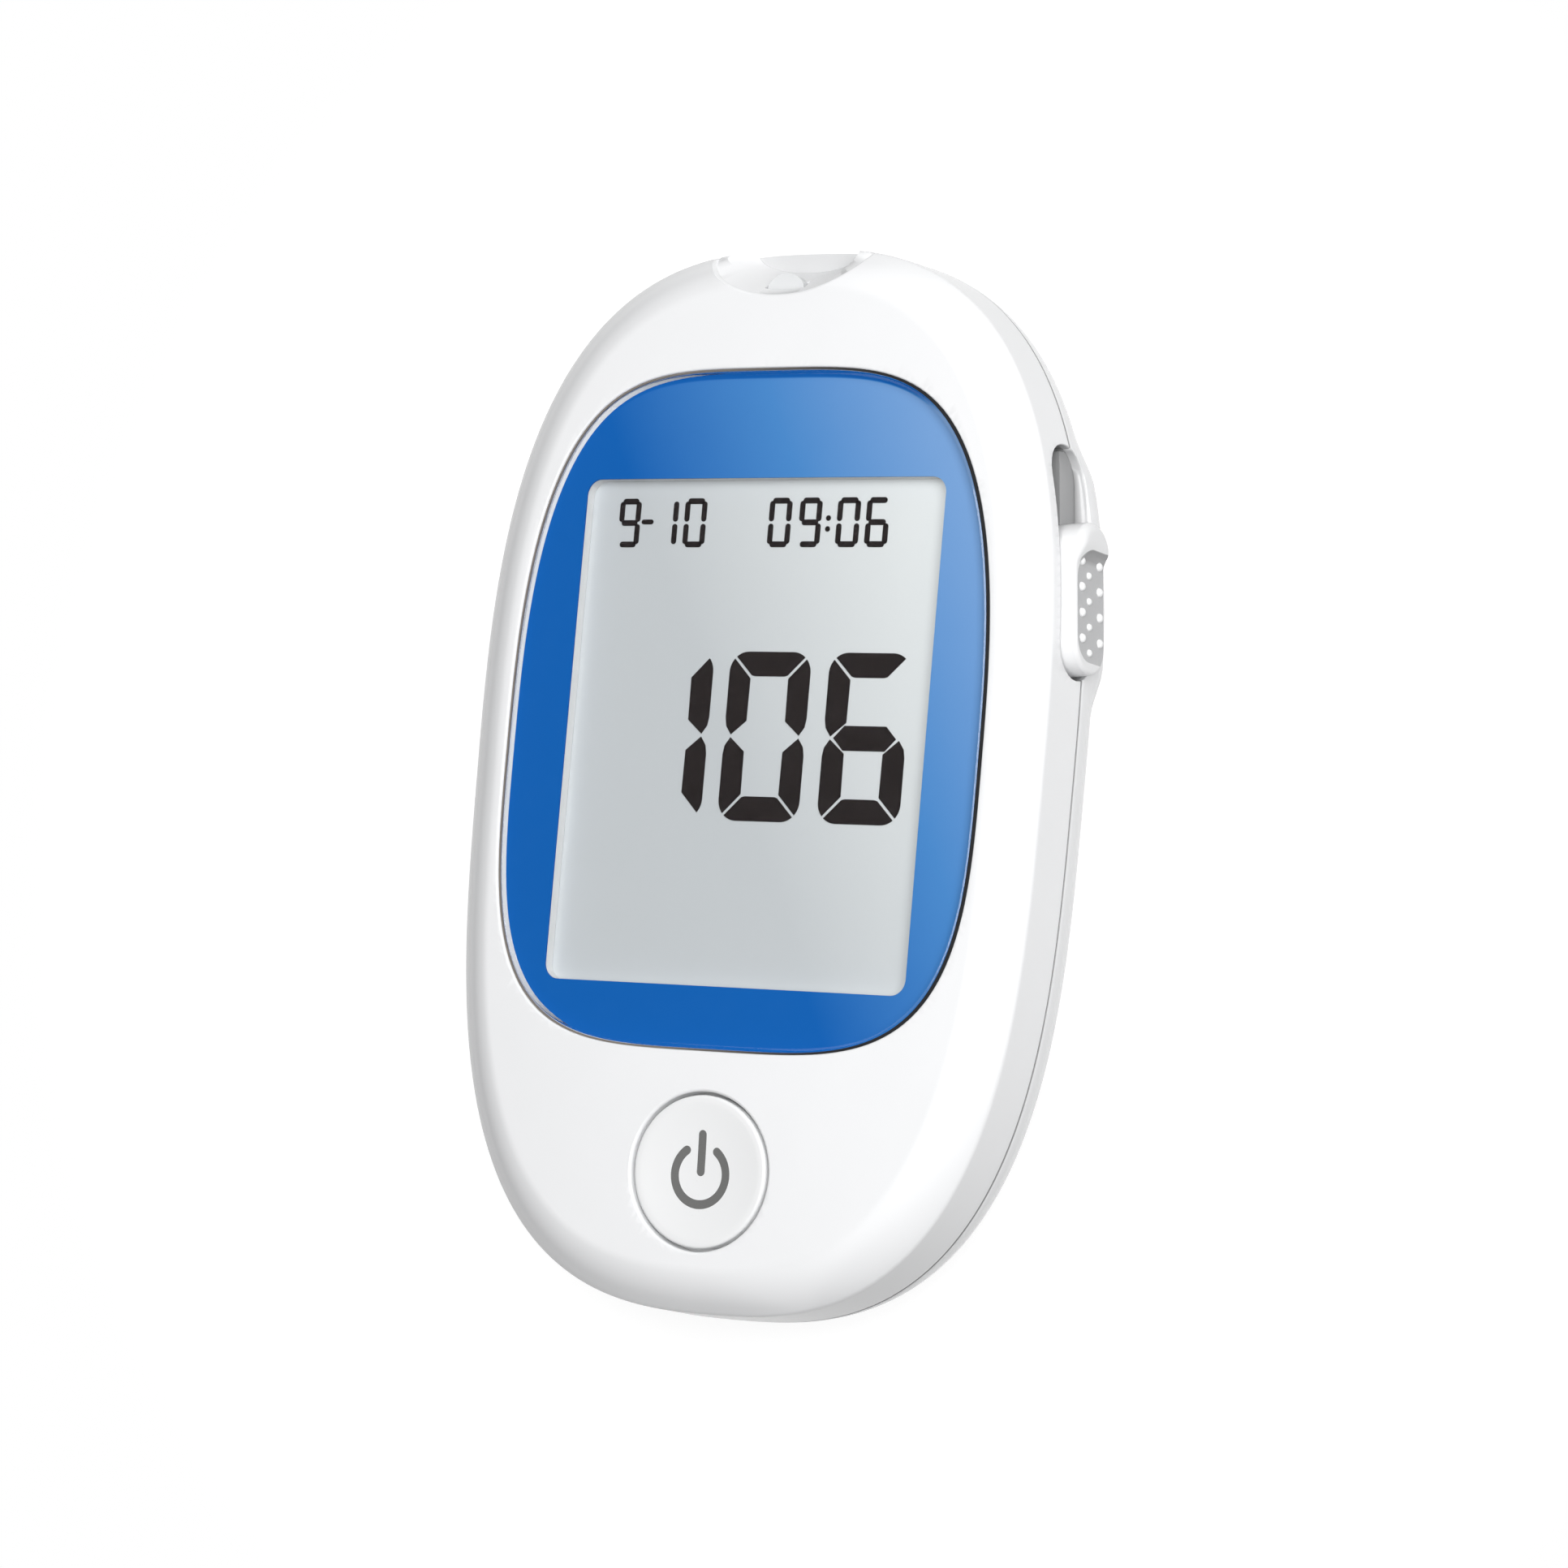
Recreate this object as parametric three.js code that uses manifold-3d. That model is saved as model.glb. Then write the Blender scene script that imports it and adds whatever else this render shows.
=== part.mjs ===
// A hand-held blood meter lying on its back: display and power button face up (+Z),
// the test-strip port is at the +Y end, and the strip-eject slider is on the +X side.
// The origin is the middle of the flat rear face. Lengths are in millimetres.
import * as THREE from 'three';
import { mergeVertices } from 'three/addons/utils/BufferGeometryUtils.js';
import Module from 'manifold-3d';

const wasm = await Module();
wasm.setup();

// Case: overall form
const caseLength = 100;
const caseWidth = 61.4;
const seamHeight = 12;
const wall = 1.8;
const seamGap = 0.12;
const sideWallHeight = 3.4;
const sideWallDraft = 0.3;
const shoulderRise = 4.9;
const shoulderInset = 5;
const crownRise = 0.5;
const crownReach = 24;
const baseInset = 16;
const overrun = 2;
const fitGap = 0.3;
const stackGap = 0.05;

// Powers of the case's egg-shaped outline, and how much wider its upper end is
const outlineShares = { across: 2.67, top: 2.85, bottom: 3.14, widerTop: 0.019 };
// Widths of the crown's rings, as shares of its reach
const crownShares = [0.3, 0.6, 1];

// Lip that lines the seam
const lipInset = 0.4;
const lipThickness = 0.8;
const lipRise = 1.2;
const lipRoot = 1.6;

// Lens, printed film and adhesive ring
const lensToSide = 5.4;
const lensToTop = 12.4;
const lensToFoot = 24.4;
const lensGap = 0.2;
const lensSink = 0.1;
const lensEdgeThickness = 1.1;
const lensShares = { across: 4, top: 2.66, bottom: 3.56, above: 0.55, widerTop: 0 };
const filmInset = 0.55;
const filmThickness = 0.15;
const windowToSide = 6;
const windowToTop = 10;
const windowToFoot = 5.8;
const windowCorner = 1.2;
const adhesiveThickness = 0.3;
const adhesiveWidth = 1;
const trayThickness = 1;
const trayMargin = 1.6;
const trayOpeningMargin = 1.2;
const trayOpeningCorner = 1;

// Liquid-crystal display module
const glassThickness = 0.7;
const glassMargin = 2.2;
const contactLedge = 2.8;
const polarizerThickness = 0.2;
const polarizerMargin = 0.7;
const reflectorThickness = 0.15;
const frameWall = 1;
const frameFloor = 0.85;
const elastomerWidth = 1.8;
const elastomerInset = 1.5;

// Circuit board and what it carries
const boardThickness = 1;
const boardInset = 4.4;
const boardTopDrop = 5.35;
const chipGap = 0.05;
const processorSize = 9;
const processorHeight = 1.2;
const processorX = -12;
const processorToTop = 33.8;
const analogWidth = 5;
const analogLength = 4;
const analogHeight = 1.1;
const analogX = -9;
const analogToTop = 19.5;
const crystalRadius = 1.1;
const crystalLength = 5;
const crystalX = -5.2;
const crystalToTop = 28;
const buzzerRadius = 5.5;
const buzzerHeight = 2.6;
const buzzerPort = 1;
const buzzerX = -19.5;
const buzzerToTop = 24;

// Power button and its switch
const buttonHoleRadius = 7.3;
const buttonGap = 0.3;
const buttonToFoot = 13.2;
const buttonTravel = 0.5;
const buttonDish = 0.35;
const buttonDishInset = 0.7;
const buttonFlangeReach = 0.9;
const buttonFlangeThickness = 0.8;
const switchSize = 6;
const switchHeight = 2;
const plungerRadius = 1.7;
const plungerDepth = 0.6;
const plungerGap = 0.2;

// Strip-eject slot and slider on the +X side
const slotTilt = 5.4;
const slotToSide = 0.95;
const slotToTop = 29.5;
const slotCentreZ = 12.9;
const slotHeight = 6.6;
const slotGap = 0.3;
const slideTravel = 6.3;
const slideRestGap = 1;
const sliderLength = 13.3;
const slotLength = sliderLength + slideTravel + slideRestGap * 2;
const sliderStandOut = 1.6;
const sliderEdge = 0.5;
const sliderPadInset = 0.95;
const sliderPadDepth = 0.45;
const pipRadius = 0.36;
const pipRise = 0.3;
const pipPitch = 2.3;
const pipColumnPitch = 1.25;
const pipRows = 8;
const guideDepth = 3.35;
const guideMargin = 2.4;
const retainerThickness = 1;
const retainerReach = 1;
const innerGuideThickness = 0.6;
const innerGuideReach = 11.2;
const swellReach = 1.1;
const swellDepth = 9.5;
const swellBlend = 5;
const swellPowerShare = 1.2;

// Arm that pushes the strip out, and its return spring
const armThickness = 0.7;
const armBarWidth = 4;
const armBarOffset = -1;
const armLimbWidth = 4;
const pusherTipToTop = 14.2;
const springAxisDepth = 9.8;
const springSeatWidth = 4;
const springSeatHeight = 2.9;
const springAxisZ = 12.05;
const springSeatThickness = 1.2;
const springLength = 10.4;
const springCoilRadius = 1.25;
const springWireRadius = 0.2;
const springTurns = 7;
const springAnchorThickness = 1.2;

// Strip port: scoop in the end of the front cover, insert and connector
const scoopTopHalfWidth = 8.8;
const scoopTopDepth = 5.4;
const scoopFootHalfWidth = 5.9;
const scoopFootDepth = 1.8;
const scoopFootRise = 1.4;
const tongueWidth = 3.9;
const tongueReach = 1.5;
const tongueThickness = 1;
const tongueRise = 5.7;
const tongueGap = 0.2;
const stripSlotWidth = 8.4;
const stripSlotHeight = 1.2;
const insertWidth = 13;
const insertLength = 5.2;
const stemThickness = 1.2;
const insertDrop = 2.4;
const connectorWidth = 13;
const connectorLength = 8.4;
const connectorDrop = 1.3;
const contactWidth = 0.8;
const contactPitch = 1.5;
const contactHeight = 0.35;
const contactLength = 5;
const contactShares = [-2, -1, 0, 1, 2];

// Battery bay, cells and contacts
const cellRadius = 5.15;
const cellLength = 43.7;
const cellNubRadius = 1.9;
const cellNubLength = 0.8;
const cellCentreZ = 7.5;
const cellGap = 0.6;
const cellSpringSpace = 3;
const bayToFoot = 11.1;
const bayWall = 1.2;
const bayClearance = 0.7;
const bayTopGap = 0.25;
const bayCeiling = 0.7;
const bayLowEndZ = 4.5;
const bayRibThickness = 1.2;
const bayRibShares = [0.22, 0.78];
const plateThickness = 0.4;
const plateWidth = 8;
const plateFoot = 3.6;
const plateTop = 11.6;
const tailWidth = 2;
const coneTurns = 3;
const coneBaseRadius = 3.2;
const coneTipRadius = 2;
const coneWireRadius = 0.22;

// Battery door: a plate with side tongues that wraps round the lower end
const doorHalfWidth = 14.2;
const doorEndHalfWidth = 16.6;
const doorLength = 62;
const doorEndLength = 16;
const doorEndHeight = 9.5;
const doorThickness = 1.5;
const doorGap = 0.3;
const doorTongueReach = 1.8;
const doorTongueZ = 2.4;
const doorTongueThickness = 0.8;
const doorTongueToFoot = 28;
const doorTongueToTop = 3;
const gripCount = 4;
const gripPitch = 2.4;
const gripWidth = 1;
const gripLength = 14;
const gripDepth = 0.4;
const gripToFoot = 30;

// Fasteners
const caseScrewLowToSide = 9.7;
const caseScrewToFoot = 22;
const caseScrewHighToSide = 11.7;
const caseScrewToTop = 14.7;
const caseScrewHead = 2.1;
const caseScrewHeadHeight = 1.5;
const caseScrewShaft = 1.05;
const caseScrewSeat = 7;
const caseScrewBite = 4;
const casePostRadius = 3.2;
const caseBossRadius = 2.6;
const screwHoleGap = 0.2;
const driveWidth = 0.5;
const driveAcrossShare = 1.3;
const driveDepth = 0.6;
const boardScrewToSide = 15.7;
const boardScrewToFoot = 14;
const boardScrewToTop = 11.7;
const boardScrewHead = 1.7;
const boardScrewHeadHeight = 1.1;
const boardScrewShaft = 0.8;
const boardScrewBite = 2.6;
const boardPostRadius = 2.2;

// Blank rating plate on the rear face
const ratingWidth = 22;
const ratingLength = 14;
const ratingThickness = 0.3;
const ratingRecess = 0.4;
const ratingToDoor = 5;

// Facets
const outlineSteps = 56;
const rearSteps = 7;
const shoulderSteps = 5;
const roundSides = 28;
const smallSides = 12;
const shaftSides = 8;
const edgeSteps = 3;
const coilStepsPerTurn = 8;
const coilSides = 5;
const stadiumSteps = 8;

// Heights that the stack shares
const wallTop = seamHeight + sideWallHeight;
const faceEdge = wallTop + shoulderRise;
const faceTop = faceEdge + crownRise;
const lensBottom = faceEdge - lensSink - lensEdgeThickness;
const filmTop = lensBottom - stackGap;
const filmBottom = filmTop - filmThickness;
const adhesiveTop = filmBottom - stackGap;
const trayTop = adhesiveTop - adhesiveThickness - stackGap;
const trayBottom = trayTop - trayThickness;
const frontGlassTop = trayBottom - stackGap;
const frontGlassBottom = frontGlassTop - glassThickness;
const rearGlassTop = frontGlassBottom - stackGap;
const rearGlassBottom = rearGlassTop - glassThickness;
const reflectorTop = rearGlassBottom - stackGap;
const frameFloorTop = reflectorTop - reflectorThickness - stackGap;
const frameBottom = frameFloorTop - frameFloor;
const boardTop = frameBottom - stackGap;
const boardBottom = boardTop - boardThickness;

const halfLength = caseLength / 2;
const halfWidth = caseWidth / 2;

// Places that keep their distance to the case's edges, or to the lens's edges
const lensWidth = caseWidth - lensToSide * 2;
const lensLength = caseLength - lensToTop - lensToFoot;
const lensCentreY = (lensToFoot - lensToTop) / 2;
const windowWidth = lensWidth - windowToSide * 2;
const windowLength = lensLength - windowToTop - windowToFoot;
const windowCentreY = lensCentreY + (windowToFoot - windowToTop) / 2;
const processorY = halfLength - processorToTop;
const analogY = halfLength - analogToTop;
const crystalY = halfLength - crystalToTop;
const buzzerY = halfLength - buzzerToTop;
const buttonCentreY = buttonToFoot - halfLength;
const slotSurfaceX = halfWidth - slotToSide;
const slotCentreY = halfLength - slotToTop;
const pusherTipY = halfLength - pusherTipToTop;
const bayBottomY = bayToFoot - halfLength;
const doorTopY = doorLength - halfLength;
const doorShoulderY = doorEndLength - halfLength;
const doorTongueLowY = doorTongueToFoot - halfLength;
const doorTongueTopY = doorTopY - doorTongueToTop;
const gripCentreY = gripToFoot - halfLength;
const caseScrewX = halfWidth - caseScrewLowToSide;
const caseScrewLowY = caseScrewToFoot - halfLength;
const caseScrewHighX = halfWidth - caseScrewHighToSide;
const caseScrewHighY = halfLength - caseScrewToTop;
const boardScrewX = halfWidth - boardScrewToSide;
const boardScrewLowY = boardScrewToFoot - halfLength;
const boardScrewHighY = halfLength - boardScrewToTop;
const ratingCentreY = doorTopY + ratingToDoor + ratingLength / 2;

// Outlines of the case and the lens
const caseShape = {
  halfWidth, top: halfLength, bottom: halfLength, centreY: 0, shares: outlineShares,
};
const lensShape = {
  halfWidth: lensWidth / 2,
  top: lensLength * lensShares.above,
  bottom: lensLength * (1 - lensShares.above),
  centreY: lensCentreY + lensLength / 2 - lensLength * lensShares.above,
  shares: lensShares,
};

// Solid tools: closed meshes to solids and back
function solidOf(geometry) {
  const bare = geometry.clone();
  bare.deleteAttribute('normal');
  bare.deleteAttribute('uv');
  const merged = mergeVertices(bare);
  const corners = merged.index.array;
  const kept = [];
  for (let i = 0; i < corners.length; i += 3) {
    const [a, b, c] = corners.slice(i, i + 3);
    if (a !== b && b !== c && c !== a) {
      kept.push(a, b, c);
    }
  }
  const mesh = new wasm.Mesh({
    numProp: 3,
    vertProperties: merged.attributes.position.array,
    triVerts: new Uint32Array(kept),
  });
  return new wasm.Manifold(mesh);
}

function geometryOf(solid) {
  const mesh = solid.getMesh();
  const geometry = new THREE.BufferGeometry();
  geometry.setAttribute('position', new THREE.BufferAttribute(mesh.vertProperties, mesh.numProp));
  geometry.setIndex(new THREE.BufferAttribute(mesh.triVerts, 1));
  geometry.computeVertexNormals();
  return geometry;
}

function join(first, ...others) {
  return others.reduce((sum, other) => sum.add(other), first);
}

function cut(first, ...others) {
  return others.reduce((rest, other) => rest.subtract(other), first);
}

// A block between two corners
function block(low, high) {
  const size = high.map((value, i) => value - low[i]);
  const geometry = new THREE.BoxGeometry(...size);
  geometry.translate(...low.map((value, i) => value + size[i] / 2));
  return solidOf(geometry);
}

function symmetricBlock(width, yLow, yHigh, zLow, zHigh) {
  return block([-width / 2, yLow, zLow], [width / 2, yHigh, zHigh]);
}

// A round bar standing on z
function rod(radius, zLow, zHigh, x, y, sides = roundSides) {
  const geometry = new THREE.CylinderGeometry(radius, radius, zHigh - zLow, sides);
  geometry.rotateX(Math.PI / 2);
  geometry.translate(x, y, (zLow + zHigh) / 2);
  return solidOf(geometry);
}

// A round bar along y
function barAlongY(radius, yLow, yHigh, x, z, sides = roundSides) {
  const geometry = new THREE.CylinderGeometry(radius, radius, yHigh - yLow, sides);
  geometry.translate(x, (yLow + yHigh) / 2, z);
  return solidOf(geometry);
}

function extrude(shape, zLow, zHigh) {
  const options = { depth: zHigh - zLow, bevelEnabled: false, curveSegments: stadiumSteps };
  const geometry = new THREE.ExtrudeGeometry(shape, options);
  geometry.translate(0, 0, zLow);
  return solidOf(geometry);
}

function roundedRectangle(width, length, radius, centreY) {
  const shape = new THREE.Shape();
  const x = width / 2 - radius;
  const y = length / 2 - radius;
  shape.absarc(x, centreY - y, radius, -Math.PI / 2, 0);
  shape.absarc(x, centreY + y, radius, 0, Math.PI / 2);
  shape.absarc(-x, centreY + y, radius, Math.PI / 2, Math.PI);
  shape.absarc(-x, centreY - y, radius, Math.PI, Math.PI * 1.5);
  return shape;
}

// Closed skin through rings of equal length, with flat ends
function loft(rings) {
  const count = rings[0].length;
  const positions = rings.flat().flatMap((point) => point.toArray());
  const triangles = [];
  for (let ring = 0; ring < rings.length - 1; ring += 1) {
    for (let i = 0; i < count; i += 1) {
      const a = ring * count + i;
      const b = ring * count + ((i + 1) % count);
      triangles.push(a, b, b + count, a, b + count, a + count);
    }
  }
  [0, rings.length - 1].forEach((ring) => {
    const centre = new THREE.Vector3();
    rings[ring].forEach((point) => centre.add(point));
    centre.divideScalar(count);
    const hub = positions.length / 3;
    positions.push(...centre.toArray());
    for (let i = 0; i < count; i += 1) {
      const a = ring * count + i;
      const b = ring * count + ((i + 1) % count);
      triangles.push(...(ring === 0 ? [hub, b, a] : [hub, a, b]));
    }
  });
  const geometry = new THREE.BufferGeometry();
  geometry.setAttribute('position', new THREE.Float32BufferAttribute(positions, 3));
  geometry.setIndex(triangles);
  return solidOf(geometry);
}

// Egg-shaped outline drawn in by an inset, as points round the z axis
function outlinePoints(shape, inset) {
  const { across, top, bottom, widerTop } = shape.shares;
  return Array.from({ length: outlineSteps }, (_, i) => {
    const angle = (i / outlineSteps) * Math.PI * 2;
    const c = Math.cos(angle);
    const s = Math.sin(angle);
    const reach = (s > 0 ? shape.top : shape.bottom) - inset;
    const power = s > 0 ? top : bottom;
    const y = reach * Math.sign(s) * Math.abs(s) ** (2 / power);
    const taper = 1 + (widerTop * y) / shape.top;
    const x = (shape.halfWidth - inset) * Math.sign(c) * Math.abs(c) ** (2 / across) * taper;
    return new THREE.Vector2(x, y + shape.centreY);
  });
}

function outlinePrism(shape, inset, zLow, zHigh) {
  return extrude(new THREE.Shape(outlinePoints(shape, inset)), zLow, zHigh);
}

function smoothShare(value) {
  const t = Math.min(Math.max(value, 0), 1);
  return t * t * (3 - 2 * t);
}

// The side swells outward beside the slot, below the seam
function swellAt(x, y, z) {
  const depth = seamHeight - z;
  if (x <= 0 || depth <= 0 || depth >= swellDepth) {
    return 0;
  }
  const past = slotLength / 2 + swellBlend / 2 - Math.abs(y - slotCentreY);
  const along = smoothShare(past / swellBlend);
  return swellReach * along * Math.sin((depth / swellDepth) * Math.PI) ** swellPowerShare;
}

function caseRing(inset, z) {
  return outlinePoints(caseShape, inset).map((point) => {
    const swell = swellAt(point.x, point.y, z);
    return new THREE.Vector3(point.x + swell, point.y, z);
  });
}

function steps(count) {
  return Array.from({ length: count }, (_, i) => (i + 1) / count);
}

// Height of the gently crowned face at an inset past the shoulder
function crownHeight(inset) {
  const start = sideWallDraft + shoulderInset;
  const share = Math.min((inset - start) / (crownReach - start), 1);
  return faceEdge + crownRise * share * (2 - share);
}

// Front shell surface, lying a depth inside the outer skin
function frontSolid(depth, foot) {
  const rings = [caseRing(depth, foot), caseRing(depth + sideWallDraft, wallTop)];
  steps(shoulderSteps).forEach((share) => {
    const angle = (share * Math.PI) / 2;
    const inset = depth + sideWallDraft + shoulderInset * (1 - Math.cos(angle));
    rings.push(caseRing(inset, wallTop + (shoulderRise - depth) * Math.sin(angle)));
  });
  crownShares.forEach((share) => {
    const start = sideWallDraft + shoulderInset;
    const inset = start + (crownReach - start) * share;
    rings.push(caseRing(depth + inset, crownHeight(inset) - depth));
  });
  return loft(rings);
}

// Rear shell surface: a boat form from the flat base up to the seam
function rearSolid(depth, top) {
  const rings = [];
  steps(rearSteps).reverse().forEach((share) => {
    const angle = (share * Math.PI) / 2;
    const inset = depth + baseInset * (1 - Math.cos(angle));
    rings.push(caseRing(inset, seamHeight - (seamHeight - depth) * Math.sin(angle)));
  });
  rings.push(caseRing(depth, seamHeight));
  if (top > seamHeight) {
    rings.push(caseRing(depth, top));
  }
  return loft(rings);
}

// Slide frame: u runs along the slot, v up, w out of the case wall
const slideAngle = THREE.MathUtils.degToRad(slotTilt);
const slideAlong = new THREE.Vector3(-Math.sin(slideAngle), Math.cos(slideAngle), 0);
const slideOut = new THREE.Vector3(Math.cos(slideAngle), Math.sin(slideAngle), 0);
const slideOrigin = new THREE.Vector3(slotSurfaceX, slotCentreY, slotCentreZ);
const slideFrame = new THREE.Matrix4()
  .makeBasis(slideAlong, new THREE.Vector3(0, 0, 1), slideOut)
  .setPosition(slideOrigin);

function inSlideFrame(solid) {
  return solidOf(geometryOf(solid).applyMatrix4(slideFrame));
}

// Stadium outline in u and v, as one ring at a given w
function stadiumRing(length, height, centre, w) {
  const radius = height / 2;
  const straight = length / 2 - radius;
  return [1, -1].flatMap((end) => Array.from({ length: stadiumSteps + 1 }, (_, i) => {
    const angle = (i / stadiumSteps - end / 2) * Math.PI;
    const u = centre + end * straight + radius * Math.cos(angle);
    return new THREE.Vector3(u, radius * Math.sin(angle), w);
  }));
}

const slotFoot = -slotLength / 2 + slideRestGap;
const sliderCentre = slotFoot + sliderLength / 2;
const sliderHeight = slotHeight - slotGap * 2;

// Front cover
const scoopCentreY = halfLength;
const scoopFootZ = seamHeight + scoopFootRise;
const stripSlotLow = seamHeight + stackGap * 2;
const stripSlotTop = stripSlotLow + stripSlotHeight;
const tongueTop = seamHeight + tongueRise + tongueThickness;

function scoopCone(grow, zLow, zHigh) {
  const ringAt = (z) => {
    const share = (z - scoopFootZ) / (faceTop - scoopFootZ);
    const across = scoopFootHalfWidth + (scoopTopHalfWidth - scoopFootHalfWidth) * share + grow;
    const back = scoopFootDepth + (scoopTopDepth - scoopFootDepth) * share + grow;
    return Array.from({ length: outlineSteps / 2 }, (_, i) => {
      const angle = (i / (outlineSteps / 2)) * Math.PI * 2;
      const y = scoopCentreY + back * Math.sin(angle);
      return new THREE.Vector3(across * Math.cos(angle), y, z);
    });
  };
  return loft([ringAt(zLow), ringAt(zHigh)]);
}

const caseScrewPlaces = [
  [-caseScrewX, caseScrewLowY],
  [caseScrewX, caseScrewLowY],
  [-caseScrewHighX, caseScrewHighY],
  [caseScrewHighX, caseScrewHighY],
];
const boardScrewPlaces = [
  [-boardScrewX, boardScrewLowY],
  [boardScrewX, boardScrewLowY],
  [-boardScrewX, boardScrewHighY],
  [boardScrewX, boardScrewHighY],
];
const caseScrewTip = seamHeight + caseScrewBite;
const boardScrewTip = boardTop + boardScrewBite;

function slotCutter() {
  const inner = -guideDepth - overrun;
  const outer = sliderStandOut + swellReach + overrun;
  return inSlideFrame(loft([
    stadiumRing(slotLength, slotHeight, 0, inner),
    stadiumRing(slotLength, slotHeight, 0, outer),
  ]));
}

// Block that fills the curved wall out to a flat guide face behind the slot
function guideBlock(zLow, zHigh) {
  const reach = slotLength / 2 + guideMargin;
  const outer = sliderStandOut + swellReach + overrun;
  const low = [-reach, zLow - slotCentreZ, -guideDepth];
  const high = [reach, zHigh - slotCentreZ, outer];
  return inSlideFrame(block(low, high));
}

// Plate behind the slider's retainer; the arm passes through the slit at the seam
function innerGuide(zLow, zHigh) {
  const face = -guideDepth - retainerThickness - slotGap * 2;
  const low = [-innerGuideReach, zLow - slotCentreZ, face - innerGuideThickness];
  return inSlideFrame(block(low, [innerGuideReach, zHigh - slotCentreZ, face]));
}

// Space that the slider's retainer sweeps, cut clear where the curved wall comes in
function retainerRun() {
  const reach = slotLength / 2 + retainerReach - slideRestGap + fitGap;
  const side = sliderHeight / 2 + retainerReach + fitGap;
  const face = -guideDepth - retainerThickness - slotGap * 2;
  return inSlideFrame(block([-reach, -side, face], [reach, side, -guideDepth]));
}

function tongueShape(grow) {
  const radius = tongueWidth / 2 + grow;
  const shape = new THREE.Shape();
  const share = (tongueTop - scoopFootZ) / (faceTop - scoopFootZ);
  const scoopDepth = scoopFootDepth + (scoopTopDepth - scoopFootDepth) * share;
  const tipY = scoopCentreY - scoopDepth + tongueReach + grow;
  const rootY = insertBack - grow;
  shape.moveTo(-radius, rootY);
  shape.lineTo(radius, rootY);
  shape.lineTo(radius, tipY - tongueReach);
  shape.absellipse(0, tipY - tongueReach, radius, tongueReach, 0, Math.PI);
  return shape;
}

function frontCover() {
  const outer = frontSolid(0, seamHeight + seamGap / 2);
  const slotRoof = slotCentreZ + slotHeight / 2 + wall;
  let cover = cut(outer, frontSolid(wall, seamHeight - overrun));
  const tray = outlinePrism(lensShape, -lensGap - trayMargin, trayBottom, faceTop);
  const scoopBack = scoopCone(wall, scoopFootZ - stackGap, faceTop);
  const bosses = caseScrewPlaces.map(([x, y]) => (
    rod(caseBossRadius, seamHeight + seamGap / 2, faceEdge, x, y, smallSides)));
  const posts = boardScrewPlaces.map(([x, y]) => (
    rod(boardPostRadius, boardTop + stackGap, faceEdge, x, y, smallSides)));
  const guide = guideBlock(seamHeight + seamGap / 2, slotRoof);
  const inner = innerGuide(armHigh + fitGap, faceEdge);
  const fill = join(tray, scoopBack, guide, inner, ...bosses, ...posts).intersect(outer);
  cover = join(cover, fill);
  const opening = roundedRectangle(
    windowWidth + trayOpeningMargin * 2,
    windowLength + trayOpeningMargin * 2,
    trayOpeningCorner,
    windowCentreY,
  );
  const bores = caseScrewPlaces.map(([x, y]) => (
    rod(caseScrewShaft + screwHoleGap, seamHeight - overrun, caseScrewTip + fitGap, x, y, smallSides)));
  const pilots = boardScrewPlaces.map(([x, y]) => (
    rod(boardScrewShaft + screwHoleGap, boardTop - overrun, boardScrewTip + fitGap, x, y, smallSides)));
  return cut(
    cover,
    outlinePrism(lensShape, -lensGap, trayTop, faceTop + overrun),
    extrude(opening, trayBottom - overrun, trayTop + overrun),
    rod(buttonHoleRadius, boardTop, faceTop + overrun, 0, buttonCentreY, outlineSteps / 2),
    scoopCone(0, seamHeight - overrun, faceTop + overrun),
    extrude(tongueShape(tongueGap), tongueTop - tongueThickness - tongueGap, tongueTop + tongueGap),
    symmetricBlock(stripSlotWidth, insertFront, halfLength + overrun, seamHeight - overrun, stripSlotTop),
    slotCutter(),
    retainerRun(),
    ...bores,
    ...pilots,
  );
}

// Battery bay places
const cellOffset = cellRadius + cellGap / 2;
const bayHalfWidth = cellOffset + cellRadius + bayClearance;
const bayTop = cellCentreZ + cellRadius + bayTopGap;
const plateSpace = plateThickness + stackGap * 2;
const bottomPlateY = bayBottomY + stackGap;
const cellsBottomY = bayBottomY + plateSpace;
const cellsTopY = cellsBottomY + cellLength + cellNubLength + cellSpringSpace + stackGap * 2;
const bayTopY = cellsTopY + plateSpace;
const topPlateY = cellsTopY + stackGap;

// Hollow that the battery door fills, a gap wider than the door all round
function doorwayCutter() {
  const narrow = symmetricBlock(
    (doorHalfWidth + doorGap) * 2, -halfLength - overrun, doorTopY + doorGap, -overrun, wall + fitGap);
  const wide = symmetricBlock(
    (doorEndHalfWidth + doorGap) * 2,
    -halfLength - overrun,
    doorShoulderY + doorGap,
    -overrun,
    doorEndHeight + doorGap,
  );
  return join(narrow, wide);
}

// Grooves that the door's tongues slide out through, from their upper ends to the foot
function tongueRuns() {
  return [-1, 1].map((side) => {
    const near = side * (doorHalfWidth - doorTongueThickness - doorGap);
    const far = side * (doorHalfWidth + doorTongueReach + doorGap);
    return block(
      [Math.min(near, far), -halfLength - overrun, doorTongueZ - doorGap],
      [Math.max(near, far), doorTongueTopY + doorGap, doorTongueZ + doorTongueThickness + doorGap],
    );
  });
}

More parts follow.
